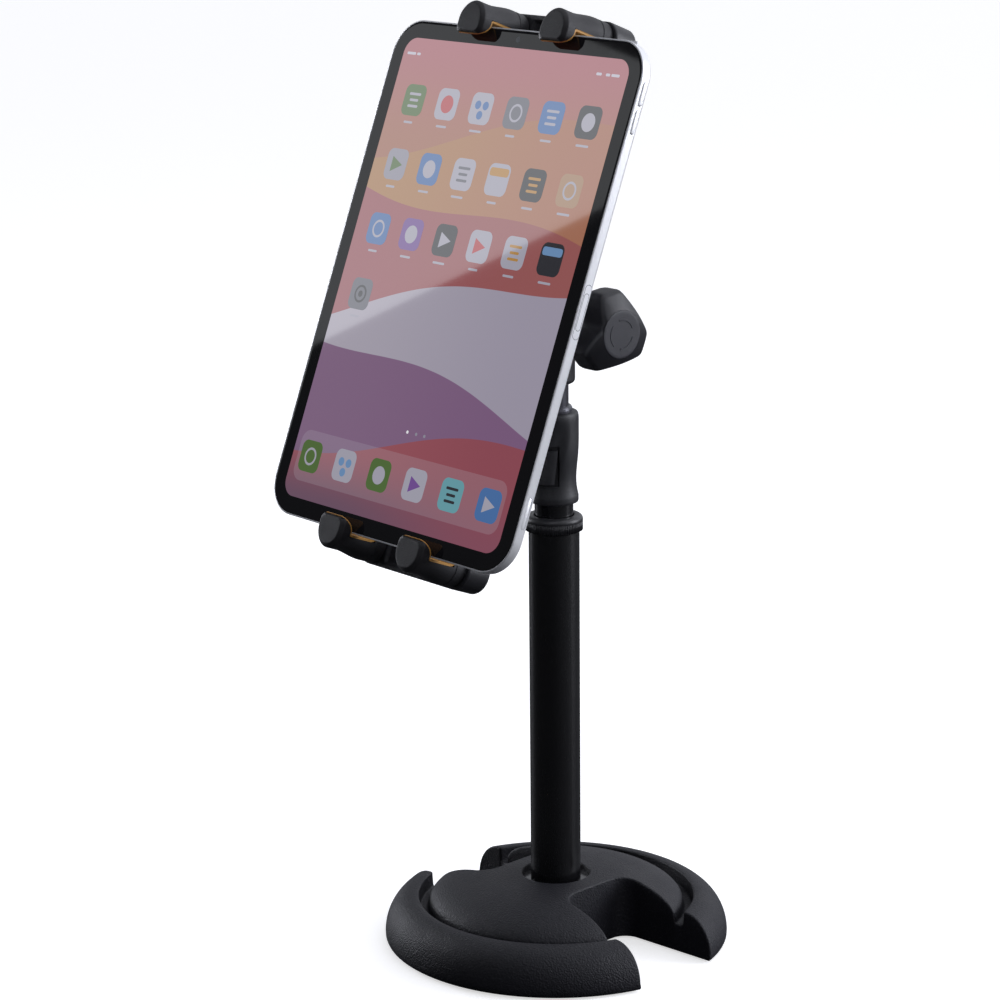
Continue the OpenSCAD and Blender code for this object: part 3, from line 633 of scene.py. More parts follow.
def cut_away(piece, *tools):
    """Cuts closed tool meshes out of a piece"""
    for tool_mesh in tools:
        tool = add_object("tool", tool_mesh)
        cut = piece.modifiers.new("cut", "BOOLEAN")
        cut.operation = "DIFFERENCE"
        cut.solver = "EXACT"
        cut.object = tool
        keep_modified(piece)
        bpy.data.objects.remove(tool)
    piece.data.set_sharp_from_angle(angle=math.radians(35))


def block(name, low, high):
    """A closed box between two corners"""
    flat = [(low[0], low[1]), (high[0], low[1]), (high[0], high[1]), (low[0], high[1])]
    return skin(name, [[(x, y, z) for x, y in flat] for z in (low[2], high[2])])


grip_rings = []
for r, z in refined(grip_profile, 0.9):
    turns = [360 * i / grip_columns - 180 for i in range(grip_columns)]
    radii = [grip_radius(r, z, turn) for turn in turns]
    grip_rings.append([(a * math.sin(math.radians(turn)), -a * math.cos(math.radians(turn)), z)
                       for a, turn in zip(radii, turns)])
room_edge_y = -4.9
lever_room = [(-16, -20), (16, -20), (16, room_edge_y)]
lever_room += [(9.95 * math.sin(math.radians(a)), -9.95 * math.cos(math.radians(a)))
               for a in range(60, -61, -6)] + [(-16, room_edge_y)]
soft_touch = finish("soft_touch", (0.0095, 0.0098, 0.012), (0.017, 0.0175, 0.021), (0.42, 0.58), 0.0005,
                    0.00006, Specular_IOR_Level=0.5)
grip = add_object("grip_moulding", skin("grip", grip_rings))
cut_away(grip,
         skin("bore", spun([(9.5, 220), (9.5, 262), (7.42, 262.01), (7.42, 275)])),
         skin("room", [[(x, y, z) for x, y in lever_room] for z in (234.6, 254.5)]),
         block("slot", (-4.4, -20, 249), (4.4, -8.5, 262)))
fit(grip, "mast", "grip_soft", soft_touch, "grip_body")


# Squeeze lever: a curved nylon paddle hung on a pin inside the grip. The stem above it
# is turned steel with a domed washer where it leaves the grip.
def bevelled(node_name, body, slot, material, width):
    """A copy of a CAD node with its shared corners merged and its edges rounded"""
    work = bmesh.new()
    work.from_mesh(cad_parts[node_name].data)
    bmesh.ops.remove_doubles(work, verts=work.verts, dist=1e-6)
    bmesh.ops.dissolve_limit(work, angle_limit=math.radians(1), verts=work.verts, edges=work.edges)
    mesh = bpy.data.meshes.new(node_name + "_rounded")
    work.to_mesh(mesh)
    work.free()
    mesh.shade_smooth()
    piece = add_object(node_name + "_rounded", mesh)
    edge = piece.modifiers.new("edge", "BEVEL")
    edge.limit_method = "ANGLE"
    edge.angle_limit = math.radians(32)
    edge.width = width * MM
    edge.segments = 2
    edge.use_clamp_overlap = False
    edge.miter_outer = "MITER_ARC"
    piece.modifiers.new("flat_faces", "WEIGHTED_NORMAL").keep_sharp = True
    keep_modified(piece)
    fit(piece, body, slot, material, node_name)


def joined(name, *meshes):
    """One mesh made of several"""
    work = bmesh.new()
    for mesh in meshes:
        work.from_mesh(mesh)
    whole = bpy.data.meshes.new(name)
    work.to_mesh(whole)
    work.free()
    return whole


moulded_black = finish("moulded_black", (0.011, 0.011, 0.0135), (0.02, 0.02, 0.024), (0.36, 0.52), 0.0006,
                       0.00008)
neck_black = finish("neck_black", (0.05, 0.05, 0.06), (0.085, 0.085, 0.1), (0.25, 0.38), 0.0005, 0.00002,
                    stretch=(0.2, 0.2, 3.0), Metallic=0.5)
lever_low = 236.2
lever_high = 252.6


def lever_ring(z):
    """The paddle's section at height z: a curved strip with rounded edges"""
    rise = (z - lever_low) / (lever_high - lever_low)
    half_turn = 50 + 9 * rise
    inner = 12.45 - 1.1 * rise
    outer = inner + 2.0 + 0.5 * near(z, lever_low + 1.5, 8)
    turns = [half_turn * k / 16 for k in range(-16, 17)]
    ring = []
    for turn in turns:
        edge = abs(turn) / half_turn
        reach = inner + 0.5 + (outer - inner - 0.5) * (1 - edge ** 3)
        ring.append((reach * math.sin(math.radians(turn)), -reach * math.cos(math.radians(turn)), z))
    for turn in reversed(turns):
        ring.append((inner * math.sin(math.radians(turn)), -inner * math.cos(math.radians(turn)), z))
    return ring


paddle = skin("paddle", [lever_ring(lever_low + (lever_high - lever_low) * k / 24) for k in range(25)], 40)
pivot = [[(x, -12 + 2.1 * math.cos(a), 258 + 2.1 * math.sin(a))
          for a in [math.radians(15 * k) for k in range(24)]] for x in (-4, 4)]
lever = add_object("squeeze_paddle", joined("squeeze_paddle", paddle, skin("pivot", pivot),
                                            block("tongue", (-4, -14, 250), (4, -11.6, 258)),
                                            block("finger", (-1.9, -12.5, 242.6), (1.9, -4.2, 245))))
fit(lever, "lever", "black_metal", moulded_black, "trigger")
paint(neck_black, "stem", "stem_washer")

# Tilting head: a socket that turns on the stem's stud, with two ears that pinch the arm
# through fibre washers. The cross bolt runs through them into the knob.
bevelled("hub_fork", "head", "holder_plastic", moulded_black, 0.8)
paint(zinc_steel, "tilt_bolt")
paint(moulded_black, "knob_spacer")
paint(natural_nylon, "friction_washers")

# Clamping knob: a moulded body of three blunt lobes on a brass insert, with softly
# rounded edges. The pressed-in disc carries a broken raised ring as its only mark.
tilt_z = 314.3
knob_back = 28.0
knob_front = 49.0
lobe_r = 20.3
flank_r = 15.2
hollow_deep = 3.3
front_slope = 0.42
lobe_turn = 98
knob_columns = 240
disc_r = 11.5
disc_mark_r = 7.0


def knob_outline(turn, inset):
    """Distance from the axis to the knob's side: blunt lobes, flats and one hollow flank"""
    total = 0.0
    for k in range(3):
        lobe = math.cos(math.radians(turn - lobe_turn - 120 * k))
        flank = math.cos(math.radians(turn - lobe_turn - 60 - 120 * k))
        total += max(0.0, lobe / lobe_r) ** 22 + max(0.0, flank / flank_r) ** 22
    return total ** (-1 / 22) - hollow_deep * near(turn, lobe_turn + 60, 44) - inset


def knob_ring(x, inset=None, r=None, slope=0.0):
    """A ring of the knob at depth x, falling back by the slope towards the lobes' ends"""
    ring = []
    for i in range(knob_columns):
        turn = 360 * i / knob_columns
        reach = r if r else knob_outline(turn, inset)
        back = slope * max(0.0, reach - disc_r - 0.1)
        ring.append((x - back, reach * math.cos(math.radians(turn)),
                     tilt_z + reach * math.sin(math.radians(turn))))
    return ring


knob_rings = [knob_ring(43.5, r=6.02), knob_ring(knob_back, r=6.02), knob_ring(knob_back, inset=4.2)]
knob_rings += [knob_ring(knob_back + 0.4, inset=3.4), knob_ring(knob_back + 3, inset=1.6)]
knob_rings += [knob_ring(x, inset=i) for x, i in ((33, 0.6), (35, 0.15), (36.5, 0), (38.5, 0), (40.5, 0))]
knob_rings += [knob_ring(knob_front - 2.2 + 2.2 * math.sin(math.radians(a)), slope=front_slope,
                         inset=2.2 - 2.2 * math.cos(math.radians(a))) for a in range(0, 85, 14)]
knob_rings += [knob_ring(knob_front, r=disc_r + 0.1), knob_ring(knob_front - 1.8, r=disc_r + 0.1)]
knob_plastic = finish("knob_plastic", (0.006, 0.006, 0.0085), (0.012, 0.012, 0.016), (0.34, 0.5), 0.0006,
                      0.00007)
knob = add_object("clamping_knob", skin("knob", knob_rings, 50))
fit(knob, "knob", "knob_plastic", knob_plastic, "tilt_knob")

disc_profile = [(disc_r, 47.2), (disc_r, 49.0), (disc_r - 0.1, 49.15), (disc_r - 0.35, 49.2)]
disc_profile += [(disc_mark_r + 3.0, 49.2)]
disc_points = [[(z, y, tilt_z + x) for x, y, z in ring] for ring in spun(disc_profile, 96)]
disc = add_object("knob_disc", skin("knob_disc", disc_points))


def arc_ridge(r, start, stop, wide, low, high):
    """A short raised ridge along an arc, facing +X"""
    rings = []
    for i in range(17):
        turn = math.radians(start + (stop - start) * i / 16)
        rings.append([(x, reach * math.cos(turn), tilt_z + reach * math.sin(turn))
                      for x, reach in ((low, r - wide), (high, r - wide * 0.7), (high, r + wide * 0.7),
                                       (low, r + wide))])
    return skin("ridge", rings, 60)


marks = [arc_ridge(disc_mark_r, start, start + 85, 0.55, 49.1, 49.45) for start in (20, 140, 260)]
disc.data = joined("knob_disc", disc.data, *marks)
cap_plastic = finish("cap_plastic", (0.018, 0.018, 0.024), (0.03, 0.03, 0.038), (0.34, 0.46), 0.0004,
                     0.00005)
fit(disc, "knob", "cap_plastic", cap_plastic, "knob_cap")
drawn_brass = finish("drawn_brass", (0.5, 0.33, 0.1), (0.68, 0.48, 0.19), (0.25, 0.4), 0.0005, 0.00003,
                     Metallic=1.0)
paint(drawn_brass, "knob_insert")

# Tilt arm and cradle: the arm's neck carries a roll spindle into the rear shell. Front
# and rear shells, moulded and screwed together, guide the two rails behind the tablet.
bevelled("tilt_block", "tilt_arm", "holder_plastic", moulded_black, 0.7)
bevelled("cradle_rear", "cradle", "holder_plastic", moulded_black, 1.0)
bevelled("cradle_front", "cradle", "holder_plastic", moulded_black, 0.6)
paint(zinc_steel, "roll_retainer", "rail_keeper", "cradle_screws", "jaw_spring")
paint(natural_nylon, "jaw_pinion")
paint(soft_rubber, "back_pad")

# Jaws: steel rack rails, a moulded crossbar on each, and two hooks screwed to every bar.
# Each hook has a blunt D-shaped head with an amber rubber liner folded into its seat.
tablet_back = math.radians(21.14)
screen_gap = 68.1
grip_shift = 0.5
hook_places = (-29.5, 29.5)
hook_half = 9.4
hook_arch = 10.0
head_low = 117.7
head_mid = 123.8
soft_corner = 3.4
seat_floor = 126.0
boss_v = 126.7
boss_r = 9.1
seam_deep = 0.35


def on_tablet(u, v, n):
    """A point of the tilted frame: across, up along the glass, and out of the glass"""
    depth = n + screen_gap
    return (u, v * math.sin(tablet_back) - depth * math.cos(tablet_back),
            tilt_z + v * math.cos(tablet_back) + depth * math.sin(tablet_back))


def seat_height(n):
    """How far the hook is cut away below, at depth n: the S-shaped lip, then the floor"""
    if n >= 6.8:
        return 0.0
    if n > 1.4:
        return 117.65 + 6.8 * (1 - math.sqrt((n - 1.4) / 5.4))
    return seat_floor if n > -15.05 else 0.0


def half_width(v):
    """Half width of the D-shaped head at height v"""
    if v > head_mid:
        return hook_half * math.sqrt(max(0.0, 1 - ((v - head_mid) / hook_arch) ** 2))
    if v < head_low + soft_corner:
        rise = head_low + soft_corner - v
        return hook_half - soft_corner + math.sqrt(max(0.0, soft_corner ** 2 - rise * rise))
    return hook_half


def head_outline():
    """The D from its lowest middle point round to itself: flat, soft corner, side, arch"""
    side = [(u, head_low) for u in (0, 2, 4, 5.4)]
    side += arc(hook_half - soft_corner, head_low + soft_corner, soft_corner, -88, 0, 6)
    side += [(u, head_mid + (v - head_mid) * hook_arch / hook_half)
             for u, v in arc(0, head_mid, hook_half, 0, 90, 16)]
    return side + [(-u, v) for u, v in reversed(side[1:-1])]


def hook_ring(n, inset=0.0, boss=0.0, radius=boss_r):
    """The hook's section at depth n, blending from head to boss"""
    low = seat_height(n)
    ring = []
    for u, v in head_outline():
        u *= 1 - inset / hook_half
        v = 125 + (v - 125) * (1 - inset / hook_half)
        away = math.hypot(u, v - boss_v)
        u += (u / away * radius - u) * boss
        v += (boss_v + (v - boss_v) / away * radius - v) * boss
        if v < low:
            v = low
            on_head = half_width(low)
            on_boss = math.sqrt(radius ** 2 - (low - boss_v) ** 2)
            reach = on_head + (on_boss - on_head) * boss
            u = max(-reach, min(reach, u * 1.6))
        ring.append((u, v, n))
    return ring


def hook_mesh(name, side, u_middle):
    rings = [hook_ring(n, inset=i) for n, i in
             ((7.5, 2.6), (7.5, 2.2), (7.47, 1.9), (7.35, 1.65), (6.2, 0.3), (6.0, 0.12), (5.75, 0))]
    rings += [hook_ring(n) for n in (5.2, 4.6, 4.0, 3.4, 2.8, 2.3, 1.9, 1.6, 1.45, 1.39, 0)]
    rings += [hook_ring(-14.8 * k / 14, boss=(k / 14) ** 2 * (3 - 2 * k / 14)) for k in range(1, 15)]
    rings += [hook_ring(n, boss=1, radius=boss_r - less) for n, less in
              ((-15.0, 0), (-15.1, 0), (-16.0, 0), (-16.3, seam_deep), (-16.7, seam_deep), (-17, 0),
               (-19, 0), (-22.2, 0), (-22.5, 0.3))]
    placed = [[on_tablet(u + u_middle, side * v + grip_shift, n) for u, v, n in ring] for ring in rings]
    return skin(name, placed, 40)


def liner_mesh(name, side, u_middle):
    """The liner: a thin strip folded along the seat, no wider than the head it lies on"""
    path = [(0.6 + 5.4 * (1 - t / 12) ** 2, 117.4 + 6.8 * t / 12, 0.8, 0.25) for t in range(13)]
    path += [(-0.2 + 0.8 * math.cos(a), 124.2 + 0.8 * math.sin(a), math.cos(a), math.sin(a))
             for a in (0.3, 0.7, 1.1, 1.57)]
    path += [(-12.5 + 1.6 * math.cos(a), 123.4 + 1.6 * math.sin(a), math.cos(a), math.sin(a))
             for a in (1.57, 2.1, 2.6, 3.14)] + [(-14.1, 121.4, -1.0, 0.0)]
    rings = []
    for n, v, dn, dv in path:
        half = min(9.2, half_width(v + dv) - 0.2)
        rings.append([on_tablet(u + u_middle, side * (v + k * dv) + grip_shift, n + k * dn)
                      for u, k in ((-half, 0), (half, 0), (half, 1), (-half, 1))])
    return skin(name, rings, 50)


hook_rubber = finish("hook_rubber", (0.011, 0.0105, 0.0125), (0.021, 0.0205, 0.024), (0.48, 0.68), 0.0006,
                     0.00012, cells=0.3)
liner_amber = finish("liner_amber", (0.42, 0.2, 0.035), (0.62, 0.33, 0.08), (0.4, 0.6), 0.0006, 0.00006)
for jaw, side in (("upper", 1), ("lower", -1)):
    for hand, u_middle in zip(("left", "right"), hook_places):
        hook_name = jaw + "_hook_" + hand
        hook = add_object(hook_name + "_moulding", hook_mesh(hook_name, side, u_middle))
        fit(hook, jaw + "_jaw", "hook_rubber", hook_rubber, hook_name)
        liner = add_object(jaw + "_liner_" + hand + "_fold", liner_mesh("liner", side, u_middle))
        fit(liner, jaw + "_jaw", "liner_amber", liner_amber, jaw + "_liner_" + hand)
    bevelled(jaw + "_crossbar", jaw + "_jaw", "holder_plastic", moulded_black, 1.0)
    paint(zinc_steel, jaw + "_rail", jaw + "_hook_screws")

# Tablet shell: a milled aluminium tray, blasted to a fine silver, with rounded edges and
# openings for its keys, card tray and camera.
tablet_w = 178.5
tablet_h = 247.6
tablet_t = 5.9
corner_r = 18.0
rim_w = 0.75
key_heights = (100.6, 87.7)
key_n = -tablet_t / 2
key_long = 11.0
key_wide = 2.0
tray_v = -93.0
tray_long = 14.5
tray_wide = 2.2
power_u = 72.0
lens_spot = (-72, 106)
lens_r = 5.45
opening_gap = 0.3


def round_box(wide, high, r, steps=10):
    """Outline of a rectangle with rounded corners, about its middle"""
    return [point for x, y, start in ((1, -1, -90), (1, 1, 0), (-1, 1, 90), (-1, -1, 180))
            for point in arc(x * (wide / 2 - r), y * (high / 2 - r), r, start, start + 90, steps)]


def slab(name, levels, sharp=35):
    """A plate of the tablet: a list of (outline, height above the glass)"""
    return skin(name, [[on_tablet(u, v, n) for u, v in outline] for outline, n in levels], sharp)


def tablet_box(inset, r=corner_r):
    return round_box(tablet_w - 2 * inset, tablet_h - 2 * inset, r - inset, 14)


def pill(name, put, long, wide, start, stop, soft):
    """A rounded pill between two depths; put places a point from its depth and cross measures"""
    levels = [(start, 0.0), (stop - soft, 0.0)]
    if soft:
        levels += [(stop - soft * 0.3, soft * 0.3), (stop, soft)]
    rings = [[put(depth, a, b) for a, b in
              round_box(wide - 2 * less, long - 2 * less, (wide - 2 * less) / 2 - 0.01, 6)]
             for depth, less in levels]
    return skin(name, rings)


def edge_pill(name, v, long, wide, start, stop, soft=0.0):
    """A pill through the tablet's right edge at height v"""
    return pill(name, lambda depth, a, b: on_tablet(depth, v + b, key_n + a), long, wide, start, stop, soft)


def top_pill(name, u, long, wide, start, stop, soft=0.0):
    """A pill through the tablet's top edge at u"""
    return pill(name, lambda depth, a, b: on_tablet(u + b, depth, key_n + a), long, wide, start, stop, soft)


def spot(u, v, r, steps=48):
    return [(u + x, v + y) for x, y in arc(0, 0, r, 0, 360 - 360 / steps, steps - 1)]


wall = 0.9
shell_section = ((rim_w, wall - tablet_t), (rim_w, -0.2), (rim_w - 0.08, -0.06), (0.32, -0.05), (0.12, -0.13),
                 (0.03, -0.3), (0, -0.6), (0, -4.3), (0.12, -4.9), (0.45, -5.4), (0.95, -5.75),
                 (1.6, -tablet_t), (2.6, -tablet_t))
silver = finish("blasted_silver", (0.86, 0.865, 0.89), (0.92, 0.925, 0.945), (0.3, 0.34), 0.0003, 0.000004,
                Metallic=0.35)
shell = add_object("tablet_tray", slab("tablet_tray", [(tablet_box(inset), n) for inset, n in shell_section]))
half_w = tablet_w / 2
half_h = tablet_h / 2
hole_long = key_long + opening_gap
hole_wide = key_wide + opening_gap
openings = [edge_pill("hole", v, hole_long, hole_wide, half_w - 2, half_w + 1) for v in key_heights]
slot_long = tray_long + opening_gap
slot_wide = tray_wide + opening_gap
openings += [edge_pill("slot", tray_v, slot_long, slot_wide, half_w - 2, half_w + 1),
             top_pill("hole", power_u, hole_long, hole_wide, half_h - 2, half_h + 2),
             slab("hole", [(spot(*lens_spot, lens_r + 0.05), n) for n in (-7.0, -3.9)])]
cut_away(shell, *openings)
fit(shell, "tablet", "tablet_metal", silver, "tablet_shell")

# Keys and card tray: small pills of the same blasted metal, each proud of its opening
# by a hair, except the tray, which lies flush.
key_root = 1.9
key_proud = 0.35
key_soft = 0.25
for name, v in zip(("volume_up", "volume_down"), key_heights):
    key_mesh = edge_pill(name, v, key_long, key_wide, half_w - key_root, half_w + key_proud, key_soft)
    key = add_object(name + "_pill", key_mesh)
    fit(key, name + "_key", "tablet_metal", silver, name)
power = add_object("power_pill", top_pill("power", power_u, key_long, key_wide, half_h - key_root,
                                          half_h + key_proud, key_soft))
fit(power, "power_key", "tablet_metal", silver, "power_button")
plate_corners = ((-0.5, -5.5), (0.3, -5.5), (0.3, 5.5), (-0.5, 5.5))
tray_plate = skin("plate", [[on_tablet(u, tray_v + v, key_n + n) for n, v in plate_corners]
                            for u in (half_w - 13, half_w - 1)])
tray = add_object("card_tray_flush", joined("card_tray", tray_plate,
                                            edge_pill("face", tray_v, tray_long, tray_wide, half_w - 1.3,
                                                      half_w - 0.02, 0.12)))
fit(tray, "card_tray", "tablet_metal", silver, "sim_tray")

# Pen rest: a flush pill-shaped insert in the right edge, with a second pill inside it.
# Both are filled with the tray's own metal and show only their fine outlines.
seam_grey = finish("seam_grey", (0.16, 0.165, 0.18), (0.22, 0.225, 0.24), (0.35, 0.45), 0.0004, 0.00001)
for long, wide, proud in ((25.4, 4.2, 0.012), (17.4, 3.0, 0.03)):
    line = add_object("pen_rest_line", edge_pill("line", 0, long, wide, half_w - 0.1, half_w + proud))
    fit(line, "tablet", "tablet_metal", seam_grey)
    face = add_object("pen_rest_face", edge_pill("face", 0, long - 0.5, wide - 0.5, half_w - 0.1,
                                                 half_w + proud + 0.01))
    fit(face, "tablet", "tablet_metal", silver)

# Rear camera: a round glass window in a thin raised collar. It is bonded into its hole
# near the top corner of the shell's back.
lens_black = finish("lens_black", (0.004, 0.004, 0.006), (0.01, 0.01, 0.014), (0.05, 0.1), 0.001, 0.00001,
                    Coat_Weight=1.0)
lens_section = ((lens_r, -3.6), (lens_r, -7.0), (5.2, -7.3), (4.6, -7.3), (4.4, -7.1), (1.8, -7.1))
lens = add_object("rear_lens", slab("rear_lens", [(spot(*lens_spot, r), n) for r, n in lens_section]))
fit(lens, "tablet", "lens", lens_black, "rear_camera")

# Inside the tablet: two pouch cells and a green circuit board, bonded to the tray's
# floor behind the display panel.
pouch_grey = finish("pouch_grey", (0.05, 0.052, 0.058), (0.1, 0.103, 0.11), (0.35, 0.55), 0.002, 0.0001)
board_green = finish("board_green", (0.01, 0.06, 0.03), (0.03, 0.12, 0.06), (0.3, 0.5), 0.001, 0.00005)
paint(pouch_grey, "tablet_battery")
paint(board_green, "tablet_board")
panel_back = finish("panel_back", (0.03, 0.03, 0.035), (0.06, 0.06, 0.068), (0.3, 0.5), 0.002, 0.00003)
paint(panel_back, "display_panel")

# Glass front: one polished sheet, printed black behind its border and bonded to the
# tray, with a pin-sized camera in the upper border.
glass_black = finish("glass_black", (0.010, 0.0095, 0.0115), (0.012, 0.0115, 0.0135), (0.02, 0.05), 0.01,
                     0.0000002, Specular_IOR_Level=0.5)
front_section = ((rim_w + 0.06, -0.9), (rim_w + 0.06, -0.12), (rim_w + 0.1, -0.03), (rim_w + 0.22, 0.0),
                 (2.0, 0.0))
front = add_object("glass_front", slab("glass_front", [(tablet_box(inset), n) for inset, n in front_section]))
fit(front, "tablet", "tablet_glass", glass_black, "tablet_glass")
eye_glass = finish("eye_glass", (0.10, 0.11, 0.125), (0.13, 0.14, 0.16), (0.1, 0.2), 0.001, 0.00001)
eye = add_object("front_lens", slab("front_lens", [(spot(0, 118.9, 1.5), n) for n in (-0.02, 0.012)]))
fit(eye, "tablet", "tablet_glass", eye_glass)

# Lit picture: a plain pattern of rolling bands of colour, one behind the other, with
# a paler strip for the row of tiles at the bottom.
screen_w = tablet_w - 18
screen_h = tablet_h - 18
picture_bands = (
    (72, 15, 40, (0.375, 0.195, 0.078), (0.36, 0.15, 0.09)),
    (34, -12, 0, (0.30, 0.084, 0.1), (0.295, 0.09, 0.088)),
    (-6, 20, 110, (0.40, 0.37, 0.44), (0.33, 0.30, 0.38)),
    (-46, -16, 70, (0.22, 0.13, 0.225), (0.19, 0.10, 0.20)),
    (-78, 12, 20, (0.33, 0.092, 0.112), (0.26, 0.062, 0.085)),
)


def rolling_line(level, slope, start):
    """A gently rolling line across the picture: its middle height, its rise and where its wave starts"""
    return [(u, level + slope * u / 100 + 6 * math.sin(math.radians(1.7 * u + start)))
            for u in range(-90, 91, 15)]


def build_picture():
    """The picture's colour from object coordinates: one curve per edge, one mix per shape"""
    tree = bpy.data.node_groups.new("lit_picture", "ShaderNodeTree")
    start, end = add_sockets(tree, [("Haze", "v", 0.0)], [("Color", "c")])
    link = tree.links.new
    place = tree.nodes.new("ShaderNodeTexCoord")
    flat = tree.nodes.new("ShaderNodeMapping")
    flat.vector_type = "TEXTURE"
    flat.inputs["Location"].default_value = [c * MM for c in on_tablet(0, 0, 0)]
    flat.inputs["Rotation"].default_value = (-tablet_back, 0, 0)
    flat.inputs["Scale"].default_value = (MM, MM, MM)
    axes = tree.nodes.new("ShaderNodeSeparateXYZ")
    link(place.outputs["Object"], flat.inputs["Vector"])
    link(flat.outputs["Vector"], axes.inputs["Vector"])
    across = tree.nodes.new("ShaderNodeMapRange")
    across.inputs["From Min"].default_value = -100
    across.inputs["From Max"].default_value = 100
    link(axes.outputs["X"], across.inputs["Value"])

    def below(line):
        """One below a line of the picture, nothing above it, with a hair-soft edge"""
        curve = tree.nodes.new("ShaderNodeFloatCurve")
        points = curve.mapping.curves[0].points
        spots = [((u + 100) / 200, (v + 130) / 260) for u, v in line]
        points[0].location = spots[0]
        points[1].location = spots[-1]
        for x, y in spots[1:-1]:
            points.new(x, y)
        curve.mapping.update()
        edge = tree.nodes.new("ShaderNodeMath")
        edge.operation = "MULTIPLY_ADD"
        edge.inputs[1].default_value = 260
        edge.inputs[2].default_value = -130
        depth = tree.nodes.new("ShaderNodeMath")
        depth.operation = "SUBTRACT"
        soft = tree.nodes.new("ShaderNodeMapRange")
        soft.inputs["From Min"].default_value = -0.12
        soft.inputs["From Max"].default_value = 0.12
        link(across.outputs["Result"], curve.inputs["Value"])
        link(curve.outputs["Value"], edge.inputs[0])
        link(edge.outputs["Value"], depth.inputs[0])
        link(axes.outputs["Z"], depth.inputs[1])
        link(depth.outputs["Value"], soft.inputs["Value"])
        return soft.outputs["Result"]

    def ramp(axis, low, high):
        """Rises from nothing to one between two places along an axis"""
        rise = tree.nodes.new("ShaderNodeMapRange")
        rise.interpolation_type = "SMOOTHSTEP"
        rise.inputs["From Min"].default_value = low
        rise.inputs["From Max"].default_value = high
        link(axes.outputs[axis], rise.inputs["Value"])
        return rise.outputs["Result"]

    def times(a, b):
        node = tree.nodes.new("ShaderNodeMath")
        node.operation = "MULTIPLY"
        for socket, value in zip(node.inputs, (a, b)):
            if isinstance(value, float):
                socket.default_value = value
            else:
                link(value, socket)
        return node.outputs["Value"]

    def over(under, color, mask):
        """Lays a colour, or another colour socket, over the picture through a mask"""
        mix = tree.nodes.new("ShaderNodeMix")
        mix.data_type = "RGBA"
        link(mask, mix.inputs["Factor"])
        for socket, value in (("A", under), ("B", color)):
            if isinstance(value, tuple):
                mix.inputs[socket].default_value = (*value, 1)
            else:
                link(value, mix.inputs[socket])
        return mix.outputs["Result"]

    def opposite(mask):
        """One where a mask is nothing"""
        node = tree.nodes.new("ShaderNodeMath")
        node.operation = "SUBTRACT"
        node.inputs[0].default_value = 1.0
        link(mask, node.inputs[1])
        return node.outputs["Value"]

    tone = over((0.345, 0.15, 0.098), (0.37, 0.118, 0.14), ramp("Z", 60, 115))
    for level, slope, start_angle, left, right in picture_bands:
        band = over(left, right, ramp("X", -80, 80))
        tone = over(tone, band, below(rolling_line(level, slope, start_angle)))
    shade = over((0.098, 0.074, 0.124), (0.22, 0.07, 0.108), ramp("X", -45, 75))
    tone = over(tone, shade, times(opposite(ramp("Z", -116, -84)), 0.8))
    tone = over(tone, (0.55, 0.52, 0.6), start.outputs["Haze"])
    link(tone, end.inputs["Color"])
    return tree


def lit(name, haze=None, power=1.0):
    """A glowing surface under glass: the picture through some haze, or its own colours"""
    material = bpy.data.materials.new(name)
    material.use_nodes = True
    nodes = material.node_tree.nodes
    shader = nodes["Principled BSDF"]
    shader.inputs["Base Color"].default_value = (0.004, 0.004, 0.005, 1)
    shader.inputs["Roughness"].default_value = 0.05
    shader.inputs["Specular IOR Level"].default_value = 0.3
    shader.inputs["Coat Weight"].default_value = 1.0
    shader.inputs["Coat IOR"].default_value = 2.15
    shader.inputs["Coat Roughness"].default_value = 0.03
    shader.inputs["Emission Strength"].default_value = power
    if haze is None:
        source = nodes.new("ShaderNodeAttribute")
        source.attribute_name = "tone"
    else:
        source = nodes.new("ShaderNodeGroup")
        source.node_tree = picture
        source.inputs["Haze"].default_value = haze
    material.node_tree.links.new(source.outputs["Color"], shader.inputs["Emission Color"])
    return material


picture = build_picture()
screen_outline = round_box(screen_w, screen_h, 8, 10)
screen = add_object("lit_screen", slab("lit_screen", [(screen_outline, n) for n in (-0.05, 0.01)]))
fit(screen, "tablet", "display", lit("picture_glow", haze=0.0))
strip_v = -94
strip = [(u, v + strip_v) for u, v in round_box(153, 25, 6, 8)]
strip_plate = add_object("tile_strip", slab("tile_strip", [(strip, n) for n in (-0.05, 0.02)]))
fit(strip_plate, "tablet", "display", lit("strip_glow", haze=0.13))

# Tiles on the screen: rounded squares with plain marks made of discs, bars and wedges,
# a short bar for each label, the clock and the signal, and three page dots.
tile_half = 7.7
white = (0.36, 0.35, 0.42)
pale = (0.27, 0.26, 0.32)
green = (0.075, 0.14, 0.035)
blue = (0.06, 0.15, 0.36)
sky = (0.14, 0.26, 0.46)
slate = (0.022, 0.022, 0.028)
grey = (0.13, 0.13, 0.16)
amber = (0.42, 0.22, 0.05)
rose = (0.42, 0.06, 0.07)
violet = (0.16, 0.07, 0.28)
sand = (0.36, 0.22, 0.13)
aqua = (0.13, 0.33, 0.38)
tile_rows = (
    (84.4, 25.1, ((green, "bars", white), (white, "disc", rose), (white, "dots", blue),
                  (grey, "ring", white), (blue, "bars", white), (slate, "disc", white))),
    (52.4, 25.1, ((pale, "wedge", green), (blue, "disc", white), (white, "bars", grey),
                  (white, "band", amber), (slate, "bars", amber), (sand, "ring", white))),
    (20.3, 25.1, ((blue, "ring", white), (violet, "disc", white), (slate, "wedge", white),
                  (white, "wedge", rose), (white, "bars", amber), (slate, "band", sky))),
    (-12.2, 25.1, ((grey, "rings", slate),)),
    (strip_v, 26.6, ((green, "ring", white), (white, "dots", sky), (green, "disc", white),
                     (white, "wedge", violet), (aqua, "bars", slate), (blue, "wedge", white))),
)
flat_shapes = []


